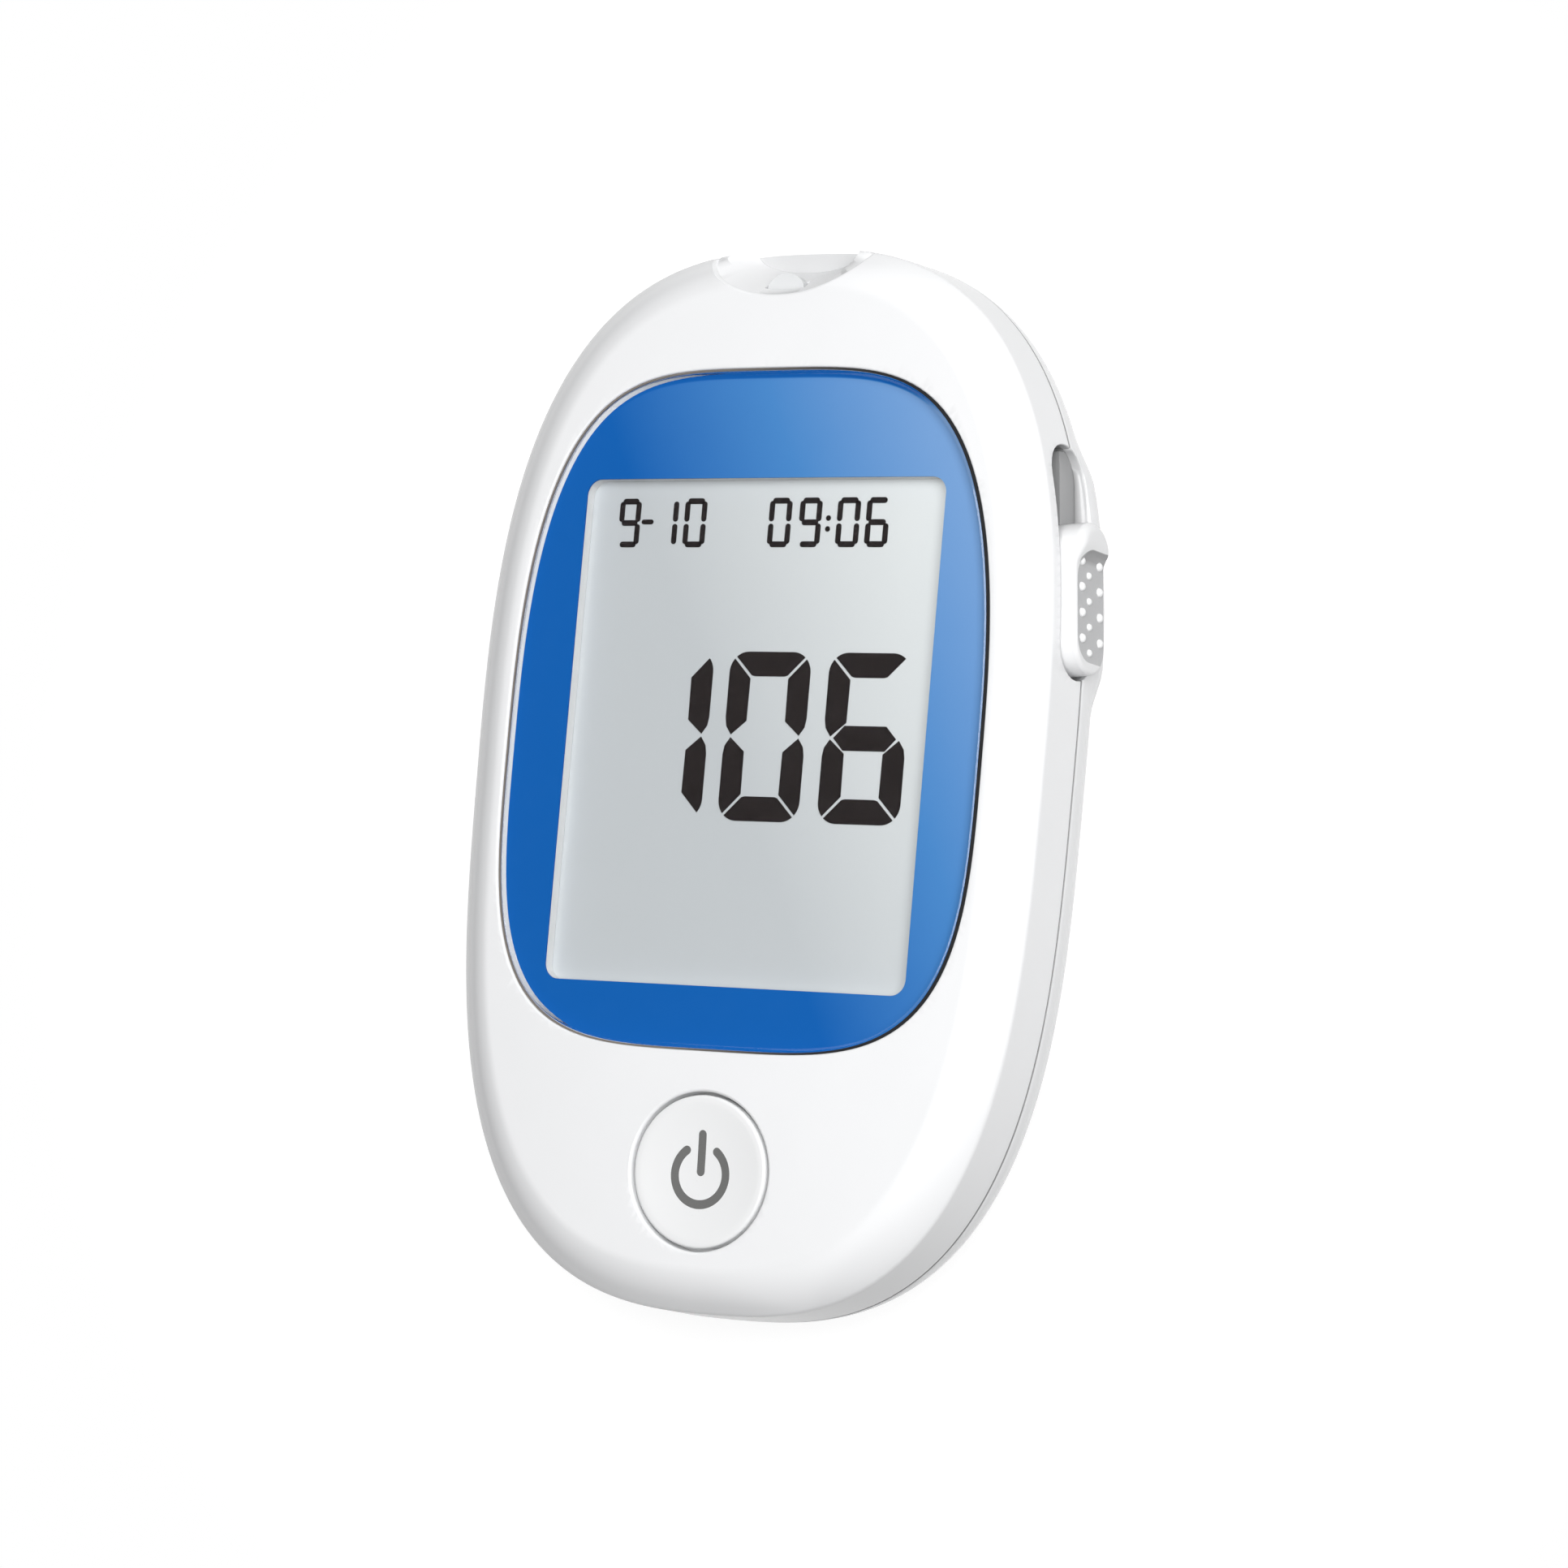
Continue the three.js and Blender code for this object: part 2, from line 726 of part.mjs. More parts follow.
function lipRing() {
  const rootBottom = seamHeight - lipRoot;
  const top = seamHeight - seamGap / 2;
  const inner = wall + lipInset + lipThickness;
  const root = cut(
    outlinePrism(caseShape, wall / 2, rootBottom, top),
    outlinePrism(caseShape, inner, rootBottom - overrun, top + overrun),
  );
  const ring = cut(
    outlinePrism(caseShape, wall + lipInset, top - stackGap, seamHeight + lipRise),
    outlinePrism(caseShape, inner, rootBottom - overrun, seamHeight + lipRise + overrun),
  );
  const reach = slotLength / 2 + guideMargin + fitGap;
  const sideGap = block(
    [halfWidth / 2, slotCentreY - reach, top],
    [halfWidth + overrun, slotCentreY + reach, seamHeight + lipRise + overrun],
  );
  const portGap = symmetricBlock(
    (scoopFootHalfWidth + wall + fitGap) * 2,
    halfLength / 2,
    halfLength + overrun,
    top,
    seamHeight + lipRise + overrun,
  );
  const bossGaps = caseScrewPlaces.map(([x, y]) => (
    rod(casePostRadius, top, seamHeight + lipRise + overrun, x, y, smallSides)));
  return join(root, cut(ring, sideGap, portGap, ...bossGaps));
}

function bayWalls() {
  const low = wall + fitGap;
  const outer = symmetricBlock(
    (bayHalfWidth + bayWall) * 2, bayBottomY - bayWall, bayTopY + bayWall, low, bayTop + bayCeiling);
  const inner = symmetricBlock(bayHalfWidth * 2, bayBottomY, bayTopY, -overrun, bayTop);
  const ribs = bayRibShares.map((share) => {
    const y = bayBottomY + (bayTopY - bayBottomY) * share;
    return symmetricBlock(
      caseWidth,
      y - bayRibThickness / 2,
      y + bayRibThickness / 2,
      doorTongueZ + doorTongueThickness + doorGap,
      seamHeight - seamGap / 2,
    );
  });
  const tails = [-cellOffset, cellOffset].map((x) => {
    const side = tailWidth / 2 + fitGap;
    return block(
      [x - side, topPlateY - fitGap, bayTop - overrun],
      [x + side, topPlateY + plateThickness + fitGap, bayTop + bayCeiling + overrun],
    );
  });
  const lowEnd = symmetricBlock(
    caseWidth,
    bayBottomY - bayWall - fitGap,
    doorShoulderY,
    -overrun,
    bayLowEndZ,
  );
  return { outer, inner, ribs, tails, lowEnd };
}

// Post on the rear cover that holds the fixed end of the slider's spring
function springAnchor() {
  const start = armBarTop + springLength + stackGap * 2;
  return springSeat(
    start, start + springAnchorThickness, wall / 2, springAxisZ + springSeatHeight / 2);
}

function rearCover() {
  const rim = seamHeight - seamGap / 2;
  const aboveRim = block(
    [-caseWidth, -caseLength, rim],
    [caseWidth, caseLength, rim + halfLength],
  );
  const outer = cut(rearSolid(0, seamHeight), aboveRim);
  const shell = cut(outer, rearSolid(wall, seamHeight + overrun));
  const bay = bayWalls();
  const posts = caseScrewPlaces.map(([x, y]) => rod(casePostRadius, 0, rim, x, y, smallSides));
  const guide = guideBlock(slotCentreZ - slotHeight / 2 - wall, rim);
  const inside = join(guide, innerGuide(0, rim), ...posts, ...bay.ribs).intersect(outer);
  const anchor = springAnchor().intersect(rearSolid(0, seamHeight + overrun));
  const skin = cut(
    join(shell, lipRing(), inside, anchor), doorwayCutter(), retainerRun(), ...tongueRuns());
  const full = join(skin, cut(bay.outer, bay.lowEnd));
  const seats = caseScrewPlaces.map(([x, y]) => (
    rod(caseScrewHead + screwHoleGap * 2, -overrun, caseScrewSeat, x, y, smallSides)));
  const bores = caseScrewPlaces.map(([x, y]) => (
    rod(caseScrewShaft + screwHoleGap, 0, seamHeight + overrun, x, y, smallSides)));
  const plateSeat = symmetricBlock(
    ratingWidth + fitGap,
    ratingCentreY - (ratingLength + fitGap) / 2,
    ratingCentreY + (ratingLength + fitGap) / 2,
    -overrun,
    ratingRecess,
  );
  return cut(full, bay.inner, slotCutter(), plateSeat, ...bay.tails, ...seats, ...bores);
}

// Battery door: the rear skin inside the doorway, with tongues over the rear wall
function batteryDoor() {
  const narrow = symmetricBlock(doorHalfWidth * 2, -halfLength - overrun, doorTopY, -overrun, doorThickness);
  const wide = symmetricBlock(
    doorEndHalfWidth * 2, -halfLength - overrun, doorShoulderY, -overrun, doorEndHeight);
  const skin = cut(rearSolid(0, seamHeight), rearSolid(doorThickness, seamHeight + overrun));
  const plate = skin.intersect(join(narrow, wide));
  const tongueTopZ = doorTongueZ + doorTongueThickness;
  const tongues = [-1, 1].flatMap((side) => {
    const xs = [side * (doorHalfWidth - doorTongueThickness), side * doorHalfWidth];
    const ends = [xs[0], side * (doorHalfWidth + doorTongueReach)];
    const riser = block(
      [Math.min(...xs), doorTongueLowY, doorThickness / 2],
      [Math.max(...xs), doorTongueTopY, tongueTopZ],
    );
    const foot = block(
      [Math.min(...ends), doorTongueLowY, doorTongueZ],
      [Math.max(...ends), doorTongueTopY, tongueTopZ],
    );
    return [riser, foot];
  });
  const grips = Array.from({ length: gripCount }, (_, i) => {
    const y = gripCentreY + (i - (gripCount - 1) / 2) * gripPitch;
    return symmetricBlock(gripLength, y - gripWidth / 2, y + gripWidth / 2, -overrun, gripDepth);
  });
  return cut(join(plate, ...tongues), ...grips);
}

// Lens, film and adhesive
function displayLens() {
  const sunk = frontSolid(0, seamHeight).translate(0, 0, -lensSink);
  return outlinePrism(lensShape, 0, lensBottom, faceTop + overrun).intersect(sunk);
}

function fasciaFilm() {
  const hole = roundedRectangle(windowWidth, windowLength, windowCorner, windowCentreY);
  return cut(
    outlinePrism(lensShape, filmInset, filmBottom, filmTop),
    extrude(hole, filmBottom - overrun, filmTop + overrun),
  );
}

function lensAdhesive() {
  const low = trayTop + stackGap;
  return cut(
    outlinePrism(lensShape, filmInset, low, adhesiveTop),
    outlinePrism(lensShape, filmInset + adhesiveWidth, low - overrun, adhesiveTop + overrun),
  );
}

// Display module
function centredPlate(width, length, zLow, zHigh) {
  return symmetricBlock(width, windowCentreY - length / 2, windowCentreY + length / 2, zLow, zHigh);
}

const glassWidth = windowWidth + glassMargin * 2;
const glassLength = windowLength + glassMargin * 2;
const elastomerY = glassLength / 2 - elastomerInset;

function elastomerStrip(side) {
  const y = windowCentreY + side * elastomerY;
  const length = elastomerWidth / 2;
  const high = frontGlassBottom - stackGap;
  return symmetricBlock(glassWidth - glassMargin, y - length, y + length, boardTop + stackGap, high);
}

function displayFrame() {
  const pocketWidth = glassWidth + fitGap;
  const pocketLength = glassLength + fitGap;
  const slots = [-1, 1].map((side) => {
    const y = windowCentreY + side * elastomerY;
    const half = elastomerWidth / 2 + fitGap;
    const width = glassWidth - glassMargin + fitGap * 2;
    return symmetricBlock(width, y - half, y + half, boardBottom, frameFloorTop + overrun);
  });
  return cut(
    centredPlate(pocketWidth + frameWall * 2, pocketLength + frameWall * 2, frameBottom, frontGlassTop),
    centredPlate(pocketWidth, pocketLength, frameFloorTop, frontGlassTop + overrun),
    ...slots,
  );
}

// Circuit board
function mainBoard() {
  const blank = outlinePrism(caseShape, boardInset, boardBottom, boardTop);
  const reach = slotLength / 2 + guideMargin + fitGap * 2;
  const face = -guideDepth - retainerThickness - slotGap * 2 - innerGuideThickness - fitGap;
  const sideNotch = inSlideFrame(block(
    [-reach, boardBottom - overrun - slotCentreZ, face],
    [reach, boardTop + overrun - slotCentreZ, overrun],
  ));
  const endNotch = symmetricBlock(
    caseWidth, halfLength - boardTopDrop, halfLength, boardBottom - overrun, boardTop + overrun);
  const stemNotch = symmetricBlock(
    insertWidth + fitGap * 2, insertBack - fitGap, halfLength, boardBottom - overrun, boardTop + overrun);
  const bossHoles = caseScrewPlaces.map(([x, y]) => (
    rod(caseBossRadius + fitGap, boardBottom - overrun, boardTop + overrun, x, y, smallSides)));
  const screwHoles = boardScrewPlaces.map(([x, y]) => (
    rod(boardScrewShaft + screwHoleGap, boardBottom - overrun, boardTop + overrun, x, y, smallSides)));
  return cut(blank, sideNotch, endNotch, stemNotch, ...bossHoles, ...screwHoles);
}

function chip(width, length, height, x, y) {
  const top = boardBottom - chipGap;
  return block([x - width / 2, y - length / 2, top - height], [x + width / 2, y + length / 2, top]);
}

function buzzer() {
  const top = boardBottom - chipGap;
  return cut(
    rod(buzzerRadius, top - buzzerHeight, top, buzzerX, buzzerY, smallSides),
    rod(buzzerPort, top - buzzerHeight - overrun, top - buzzerHeight / 2, buzzerX, buzzerY, smallSides),
  );
}

// Power button and switch
const buttonRadius = buttonHoleRadius - buttonGap;
const faceUnderside = faceEdge - wall;
const buttonFlangeTop = faceUnderside - stackGap * 2;
const buttonFlangeBottom = buttonFlangeTop - buttonFlangeThickness;
const switchTop = boardTop + stackGap + switchHeight;
const plungerTop = buttonFlangeBottom - stackGap;
const plungerBottom = switchTop - plungerDepth;

// A flat-bottomed bowl standing on its rim, to cut the button's dish
function dishBowl(radius, depth) {
  const ballRadius = (radius ** 2 + depth ** 2) / (2 * depth);
  const profile = [new THREE.Vector2(0, -depth)];
  steps(rearSteps).forEach((share) => {
    const reach = radius * share;
    profile.push(new THREE.Vector2(reach, ballRadius - Math.sqrt(ballRadius ** 2 - reach ** 2) - depth));
  });
  profile.push(new THREE.Vector2(radius, overrun), new THREE.Vector2(0, overrun));
  return new THREE.LatheGeometry(profile, outlineSteps / 2);
}

function powerButton() {
  const crowned = frontSolid(0, seamHeight).translate(0, 0, -lensSink);
  const cap = rod(buttonRadius, buttonFlangeTop - stackGap, faceTop, 0, buttonCentreY, outlineSteps / 2);
  const dish = dishBowl(buttonRadius - buttonDishInset, buttonDish);
  dish.rotateX(Math.PI / 2);
  dish.translate(0, buttonCentreY, crownHeight(halfLength + buttonCentreY) - lensSink);
  const flange = rod(
    buttonHoleRadius + buttonFlangeReach, buttonFlangeBottom, buttonFlangeTop, 0, buttonCentreY);
  const clearFlange = flange.intersect(frontSolid(wall + fitGap, seamHeight));
  return join(cut(cap.intersect(crowned), solidOf(dish)), clearFlange);
}

function tactSwitch() {
  const side = switchSize / 2;
  const body = block(
    [-side, buttonCentreY - side, boardTop + stackGap],
    [side, buttonCentreY + side, switchTop],
  );
  const wellFloor = plungerBottom - buttonTravel - plungerGap;
  const well = rod(plungerRadius + plungerGap, wellFloor, switchTop + overrun, 0, buttonCentreY, smallSides);
  return cut(body, well);
}

// Slider, arm and return spring, in the slide frame
function sliderPip(u, v) {
  const pip = new THREE.CylinderGeometry(pipRadius / 2, pipRadius, pipRise + stackGap, smallSides / 2);
  pip.rotateX(Math.PI / 2);
  pip.translate(u, v, sliderStandOut - sliderPadDepth + (pipRise - stackGap) / 2);
  return solidOf(pip);
}

function ejectSlider() {
  const height = sliderHeight;
  const neckBottom = -guideDepth - slotGap - retainerThickness / 2;
  const edgeRings = steps(edgeSteps).map((share) => {
    const angle = (share * Math.PI) / 2;
    const inset = sliderEdge * (1 - Math.cos(angle)) * 2;
    const w = sliderStandOut - sliderEdge * (1 - Math.sin(angle));
    return stadiumRing(sliderLength - inset, height - inset, sliderCentre, w);
  });
  const knob = loft([
    stadiumRing(sliderLength, height, sliderCentre, neckBottom),
    stadiumRing(sliderLength, height, sliderCentre, sliderStandOut - sliderEdge),
    ...edgeRings,
  ]);
  const padLength = sliderLength - sliderPadInset * 2;
  const padHeight = height - sliderPadInset * 2;
  const pad = loft([
    stadiumRing(padLength, padHeight, sliderCentre, sliderStandOut - sliderPadDepth),
    stadiumRing(padLength, padHeight, sliderCentre, sliderStandOut + overrun),
  ]);
  const retainerTop = -guideDepth - slotGap;
  const halfSpan = sliderLength / 2 + retainerReach;
  const retainer = block(
    [sliderCentre - halfSpan, -height / 2 - retainerReach, retainerTop - retainerThickness],
    [sliderCentre + halfSpan, height / 2 + retainerReach, retainerTop],
  );
  const pips = Array.from({ length: pipRows }, (_, row) => {
    const columns = row % 2 === 0 ? [-pipColumnPitch, pipColumnPitch] : [0];
    const u = sliderCentre + ((row - (pipRows - 1) / 2) * pipPitch) / 2;
    return columns.map((v) => sliderPip(u, v));
  }).flat();
  return inSlideFrame(join(cut(knob, pad), retainer, ...pips));
}

const armLow = stripSlotLow;
const armHigh = armLow + armThickness;
const armBarTop = armBarOffset + armBarWidth / 2;

function springSeat(uLow, uHigh, zLow, zHigh) {
  const low = [uLow, zLow - slotCentreZ, -springAxisDepth - springSeatWidth / 2];
  const high = [uHigh, zHigh - slotCentreZ, -springAxisDepth + springSeatWidth / 2];
  return inSlideFrame(block(low, high));
}

function ejectorArm() {
  const outer = -guideDepth - slotGap - retainerThickness - stackGap * 2;
  const inner = -slotSurfaceX - armLimbWidth / 2;
  const bar = inSlideFrame(block(
    [armBarOffset - armBarWidth / 2, armLow - slotCentreZ, inner],
    [armBarTop, armHigh - slotCentreZ, outer],
  ));
  const seat = springSeat(
    armBarTop - springSeatThickness,
    armBarTop,
    springAxisZ - springSeatHeight / 2,
    springAxisZ + springSeatHeight / 2,
  );
  const rootY = slotCentreY + armBarOffset - slotSurfaceX * Math.sin(slideAngle);
  const limb = symmetricBlock(armLimbWidth, rootY, pusherTipY, armLow, armHigh);
  return join(bar, seat, limb);
}

// Round wire along a path of points
function wireAlong(points, radius) {
  const curve = new THREE.CatmullRomCurve3(points);
  const frames = curve.computeFrenetFrames(points.length - 1, false);
  const rings = points.map((point, i) => Array.from({ length: coilSides }, (_, k) => {
    const angle = (k / coilSides) * Math.PI * 2;
    const across = frames.normals[i].clone().multiplyScalar(Math.cos(angle) * radius);
    const up = frames.binormals[i].clone().multiplyScalar(Math.sin(angle) * radius);
    return point.clone().add(across).add(up);
  }));
  return loft(rings);
}

function coilPoints(turns, length, startRadius, endRadius, place) {
  const count = Math.round(turns * coilStepsPerTurn);
  return Array.from({ length: count + 1 }, (_, i) => {
    const share = i / count;
    const angle = share * turns * Math.PI * 2;
    const radius = startRadius + (endRadius - startRadius) * share;
    return place(Math.cos(angle) * radius, Math.sin(angle) * radius, length * share);
  });
}

function ejectorSpring() {
  const start = armBarTop + stackGap + springWireRadius;
  const length = springLength - springWireRadius * 2;
  const place = (a, b, along) => new THREE.Vector3(
    start + along, springAxisZ - slotCentreZ + a, b - springAxisDepth,
  ).applyMatrix4(slideFrame);
  const points = coilPoints(springTurns, length, springCoilRadius, springCoilRadius, place);
  return wireAlong(points, springWireRadius);
}

// Strip port: channelled insert behind the scoop, with a tongue through its wall
const insertFront = halfLength - wall - lipInset - lipThickness - fitGap * 2;
const insertBack = insertFront - insertLength;
const connectorBack = insertBack - fitGap;

function stripPortInsert() {
  const base = symmetricBlock(
    insertWidth, insertBack, insertFront, seamHeight - insertDrop, scoopFootZ - fitGap - stackGap);
  const channel = symmetricBlock(
    stripSlotWidth, insertBack - overrun, insertFront + overrun, stripSlotLow, scoopFootZ);
  const stem = symmetricBlock(
    tongueWidth, insertBack, insertBack + stemThickness, stripSlotTop, tongueTop);
  const bridge = symmetricBlock(
    insertWidth, insertBack, insertBack + stemThickness, stripSlotTop, stripSlotTop + stemThickness);
  const posts = [-1, 1].map((side) => {
    const xs = [(side * stripSlotWidth) / 2, (side * insertWidth) / 2].sort((a, b) => a - b);
    return block(
      [xs[0], insertBack, stripSlotLow],
      [xs[1], insertBack + stemThickness, stripSlotTop + stemThickness],
    );
  });
  const tongue = extrude(tongueShape(0), tongueTop - tongueThickness, tongueTop);
  return join(cut(base, channel), ...posts, bridge, stem, tongue);
}

function stripConnector() {
  const start = connectorBack - connectorLength;
  const body = symmetricBlock(
    connectorWidth, start, connectorBack, stripSlotLow - connectorDrop, boardBottom - stackGap);
  const channel = symmetricBlock(
    stripSlotWidth, start - overrun, connectorBack + overrun, stripSlotLow - fitGap, stripSlotTop);
  return cut(body, channel);
}

function stripContact(share) {
  const x = share * contactPitch;
  const top = stripSlotTop - stackGap / 2;
  const y = connectorBack - connectorLength / 2;
  return block(
    [x - contactWidth / 2, y - contactLength / 2, top - contactHeight],
    [x + contactWidth / 2, y + contactLength / 2, top],
  );
}

// Cells, springs and contact plates
function batteryCell(x, nubEnd) {
  const nubAtTop = nubEnd > 0;
  const bodyLow = nubAtTop
    ? cellsBottomY + cellSpringSpace + stackGap
    : cellsBottomY + stackGap + cellNubLength;
  const body = barAlongY(cellRadius, bodyLow, bodyLow + cellLength, x, cellCentreZ);
  const nub = nubAtTop
    ? [bodyLow + cellLength - overrun, bodyLow + cellLength + cellNubLength]
    : [bodyLow - cellNubLength, bodyLow + overrun];
  return join(body, barAlongY(cellNubRadius, ...nub, x, cellCentreZ, smallSides));
}

function coneSpring(x, start, direction) {
  const length = cellSpringSpace - coneWireRadius * 2 - stackGap;
  const place = (a, b, along) => new THREE.Vector3(
    x + a, start + direction * (along + coneWireRadius), cellCentreZ + b);
  return wireAlong(coilPoints(coneTurns, length, coneBaseRadius, coneTipRadius, place), coneWireRadius);
}

function contactPlate(xLow, xHigh, y) {
  return block([xLow, y, plateFoot], [xHigh, y + plateThickness, plateTop]);
}

function topContact(x) {
  const tail = block(
    [x - tailWidth / 2, topPlateY, plateTop - overrun],
    [x + tailWidth / 2, topPlateY + plateThickness, boardBottom - stackGap],
  );
  return join(contactPlate(x - plateWidth / 2, x + plateWidth / 2, topPlateY), tail);
}

// Screws, driven from the rear
function screw(x, y, seat, headRadius, headHeight, shaftRadius, tip) {
  const bottom = seat - stackGap - headHeight;
  const head = rod(headRadius, bottom, seat - stackGap, x, y, smallSides);
  const shaft = rod(shaftRadius, seat - overrun / 2, tip, x, y, shaftSides);
  const across = headRadius * driveAcrossShare;
  const slots = [[across, driveWidth], [driveWidth, across]].map(([width, length]) => block(
    [x - width / 2, y - length / 2, bottom - overrun],
    [x + width / 2, y + length / 2, bottom + driveDepth],
  ));
  return cut(join(head, shaft), ...slots);
}

function ratingPlate() {
  const low = ratingRecess - ratingThickness - stackGap;
  return symmetricBlock(
    ratingWidth,
    ratingCentreY - ratingLength / 2,
    ratingCentreY + ratingLength / 2,
    low,
    low + ratingThickness,
  );
}

// Finishes
function finish(color, roughness, metalness = 0, opacity = 1) {
  return new THREE.MeshStandardMaterial({
    color, roughness, metalness, opacity, transparent: opacity < 1,
  });
}

const whiteShell = finish(0xf0f2f4, 0.32);
const whiteButton = finish(0xf4f5f6, 0.28);
const clearLens = finish(0xeaf2f8, 0.05, 0, 0.3);
const bluePrint = finish(0x1c5fb0, 0.3);
const adhesive = finish(0x202224, 0.8);
const displayGrey = finish(0xb9bfc1, 0.45);
const glassSheet = finish(0xc8d4d4, 0.08, 0, 0.5);
const silverFoil = finish(0xc4c8c8, 0.35, 0.6);
const blackPlastic = finish(0x17181a, 0.5);
const boardGreen = finish(0x1d6a44, 0.45);
const rubberStrip = finish(0x55585c, 0.8);
const steel = finish(0xb9bcc0, 0.3, 1);
const gold = finish(0xd9b25a, 0.3, 1);
const cellWrap = finish(0x3b4046, 0.4);
const portGrey = finish(0xdfe2e4, 0.4);
const plateFinish = finish(0xd4d7da, 0.4);

// Assembly
const meter = new THREE.Group();

function addPiece(name, solid, material) {
  const mesh = new THREE.Mesh(geometryOf(solid), material);
  mesh.name = name;
  meter.add(mesh);
}

addPiece('front_cover', frontCover(), whiteShell);
addPiece('rear_cover', rearCover(), whiteShell);
addPiece('battery_door', batteryDoor(), whiteShell);
addPiece('display_lens', displayLens(), clearLens);
addPiece('fascia_film', fasciaFilm(), bluePrint);
addPiece('lens_adhesive', lensAdhesive(), adhesive);
addPiece('lcd_polarizer', centredPlate(
  windowWidth + polarizerMargin * 2,
  windowLength + polarizerMargin * 2,
  frontGlassTop + stackGap,
  frontGlassTop + stackGap + polarizerThickness,
), displayGrey);
addPiece('lcd_front_glass', centredPlate(
  glassWidth, glassLength, frontGlassBottom, frontGlassTop), glassSheet);
addPiece('lcd_rear_glass', centredPlate(
  glassWidth, glassLength - contactLedge * 2, rearGlassBottom, rearGlassTop), glassSheet);
addPiece('lcd_reflector', centredPlate(
  glassWidth - glassMargin,
  glassLength - contactLedge * 2 - glassMargin,
  reflectorTop - reflectorThickness,
  reflectorTop,
), silverFoil);
addPiece('lcd_frame', displayFrame(), whiteButton);
addPiece('elastomer_strip_top', elastomerStrip(1), rubberStrip);
addPiece('elastomer_strip_bottom', elastomerStrip(-1), rubberStrip);
addPiece('main_board', mainBoard(), boardGreen);
addPiece('processor_chip', chip(
  processorSize, processorSize, processorHeight, processorX, processorY), blackPlastic);
addPiece('analog_chip', chip(analogWidth, analogLength, analogHeight, analogX, analogY), blackPlastic);
addPiece('crystal_can', chip(
  crystalRadius * 2, crystalLength, crystalRadius * 2, crystalX, crystalY), steel);
addPiece('buzzer', buzzer(), blackPlastic);
addPiece('power_button', powerButton(), whiteButton);
addPiece('tact_switch', tactSwitch(), blackPlastic);
addPiece('switch_plunger', rod(
  plungerRadius, plungerBottom, plungerTop, 0, buttonCentreY, smallSides), blackPlastic);
addPiece('eject_slider', ejectSlider(), whiteShell);
addPiece('ejector_arm', ejectorArm(), whiteShell);
addPiece('ejector_spring', ejectorSpring(), steel);
addPiece('strip_port_insert', stripPortInsert(), portGrey);
addPiece('strip_connector', stripConnector(), blackPlastic);
contactShares.forEach((share, i) => {
  addPiece(`strip_contact_${i + 1}`, stripContact(share), gold);
});
addPiece('battery_cell_1', batteryCell(-cellOffset, 1), cellWrap);
addPiece('battery_cell_2', batteryCell(cellOffset, -1), cellWrap);
addPiece('battery_spring_1', coneSpring(-cellOffset, cellsBottomY, 1), steel);
addPiece('battery_spring_2', coneSpring(cellOffset, cellsTopY, -1), steel);
addPiece('contact_bridge', contactPlate(
  -cellOffset - plateWidth / 2, cellOffset + plateWidth / 2, bottomPlateY), steel);
addPiece('contact_positive', topContact(-cellOffset), steel);
addPiece('contact_negative', topContact(cellOffset), steel);
caseScrewPlaces.forEach(([x, y], i) => {
  addPiece(`case_screw_${i + 1}`, screw(
    x, y, caseScrewSeat, caseScrewHead, caseScrewHeadHeight, caseScrewShaft, caseScrewTip), steel);
});
boardScrewPlaces.forEach(([x, y], i) => {
  addPiece(`board_screw_${i + 1}`, screw(
    x, y, boardBottom, boardScrewHead, boardScrewHeadHeight, boardScrewShaft, boardScrewTip), steel);
});
addPiece('rating_plate', ratingPlate(), plateFinish);

export default meter;
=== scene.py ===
"""A hand-held blood meter on its back: fine case skins, lens, display, button and eject slider."""

import math

import bmesh
import bpy
import numpy as np
from mathutils import Matrix, Vector


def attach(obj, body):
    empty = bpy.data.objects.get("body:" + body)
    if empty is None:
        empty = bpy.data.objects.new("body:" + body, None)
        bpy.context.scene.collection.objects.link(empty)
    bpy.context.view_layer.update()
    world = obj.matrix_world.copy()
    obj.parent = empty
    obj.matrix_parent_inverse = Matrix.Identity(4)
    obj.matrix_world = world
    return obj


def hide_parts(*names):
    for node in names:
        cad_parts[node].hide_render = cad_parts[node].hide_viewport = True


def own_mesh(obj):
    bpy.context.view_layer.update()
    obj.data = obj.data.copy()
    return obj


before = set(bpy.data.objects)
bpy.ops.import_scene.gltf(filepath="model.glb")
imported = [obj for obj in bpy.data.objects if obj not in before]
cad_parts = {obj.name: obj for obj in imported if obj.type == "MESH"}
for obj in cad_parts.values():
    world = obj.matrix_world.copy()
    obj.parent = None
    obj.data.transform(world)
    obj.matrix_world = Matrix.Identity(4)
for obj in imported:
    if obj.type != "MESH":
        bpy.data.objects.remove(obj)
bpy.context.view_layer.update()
bpy.context.scene.view_settings.view_transform = "Standard"

MM = 0.001

# ---------------------------------------------------------------- case sizes, in mm
CASE = {"half_width": 30.7, "top": 50.0, "bottom": 50.0, "centre_y": 0.0,
        "across": 2.67, "power_top": 2.85, "power_bottom": 3.14, "wider_top": 0.019}
LENS = {"half_width": 25.3, "top": 34.76, "bottom": 28.44, "centre_y": 2.84,
        "across": 4.0, "power_top": 2.66, "power_bottom": 3.56, "wider_top": 0.0}
SEAM = 12.0
SEAM_GAP = 0.16
WALL = 1.8
WALL_TOP = 17.2
DRAFT = 0.3
SHOULDER_RISE = 3.1
SHOULDER_INSET = 4.5
FACE_EDGE = 20.3
CROWN_RISE = 0.5
CROWN_REACH = 24.0
REAR_INSET = 16.0
SEAM_ROUND = 0.16

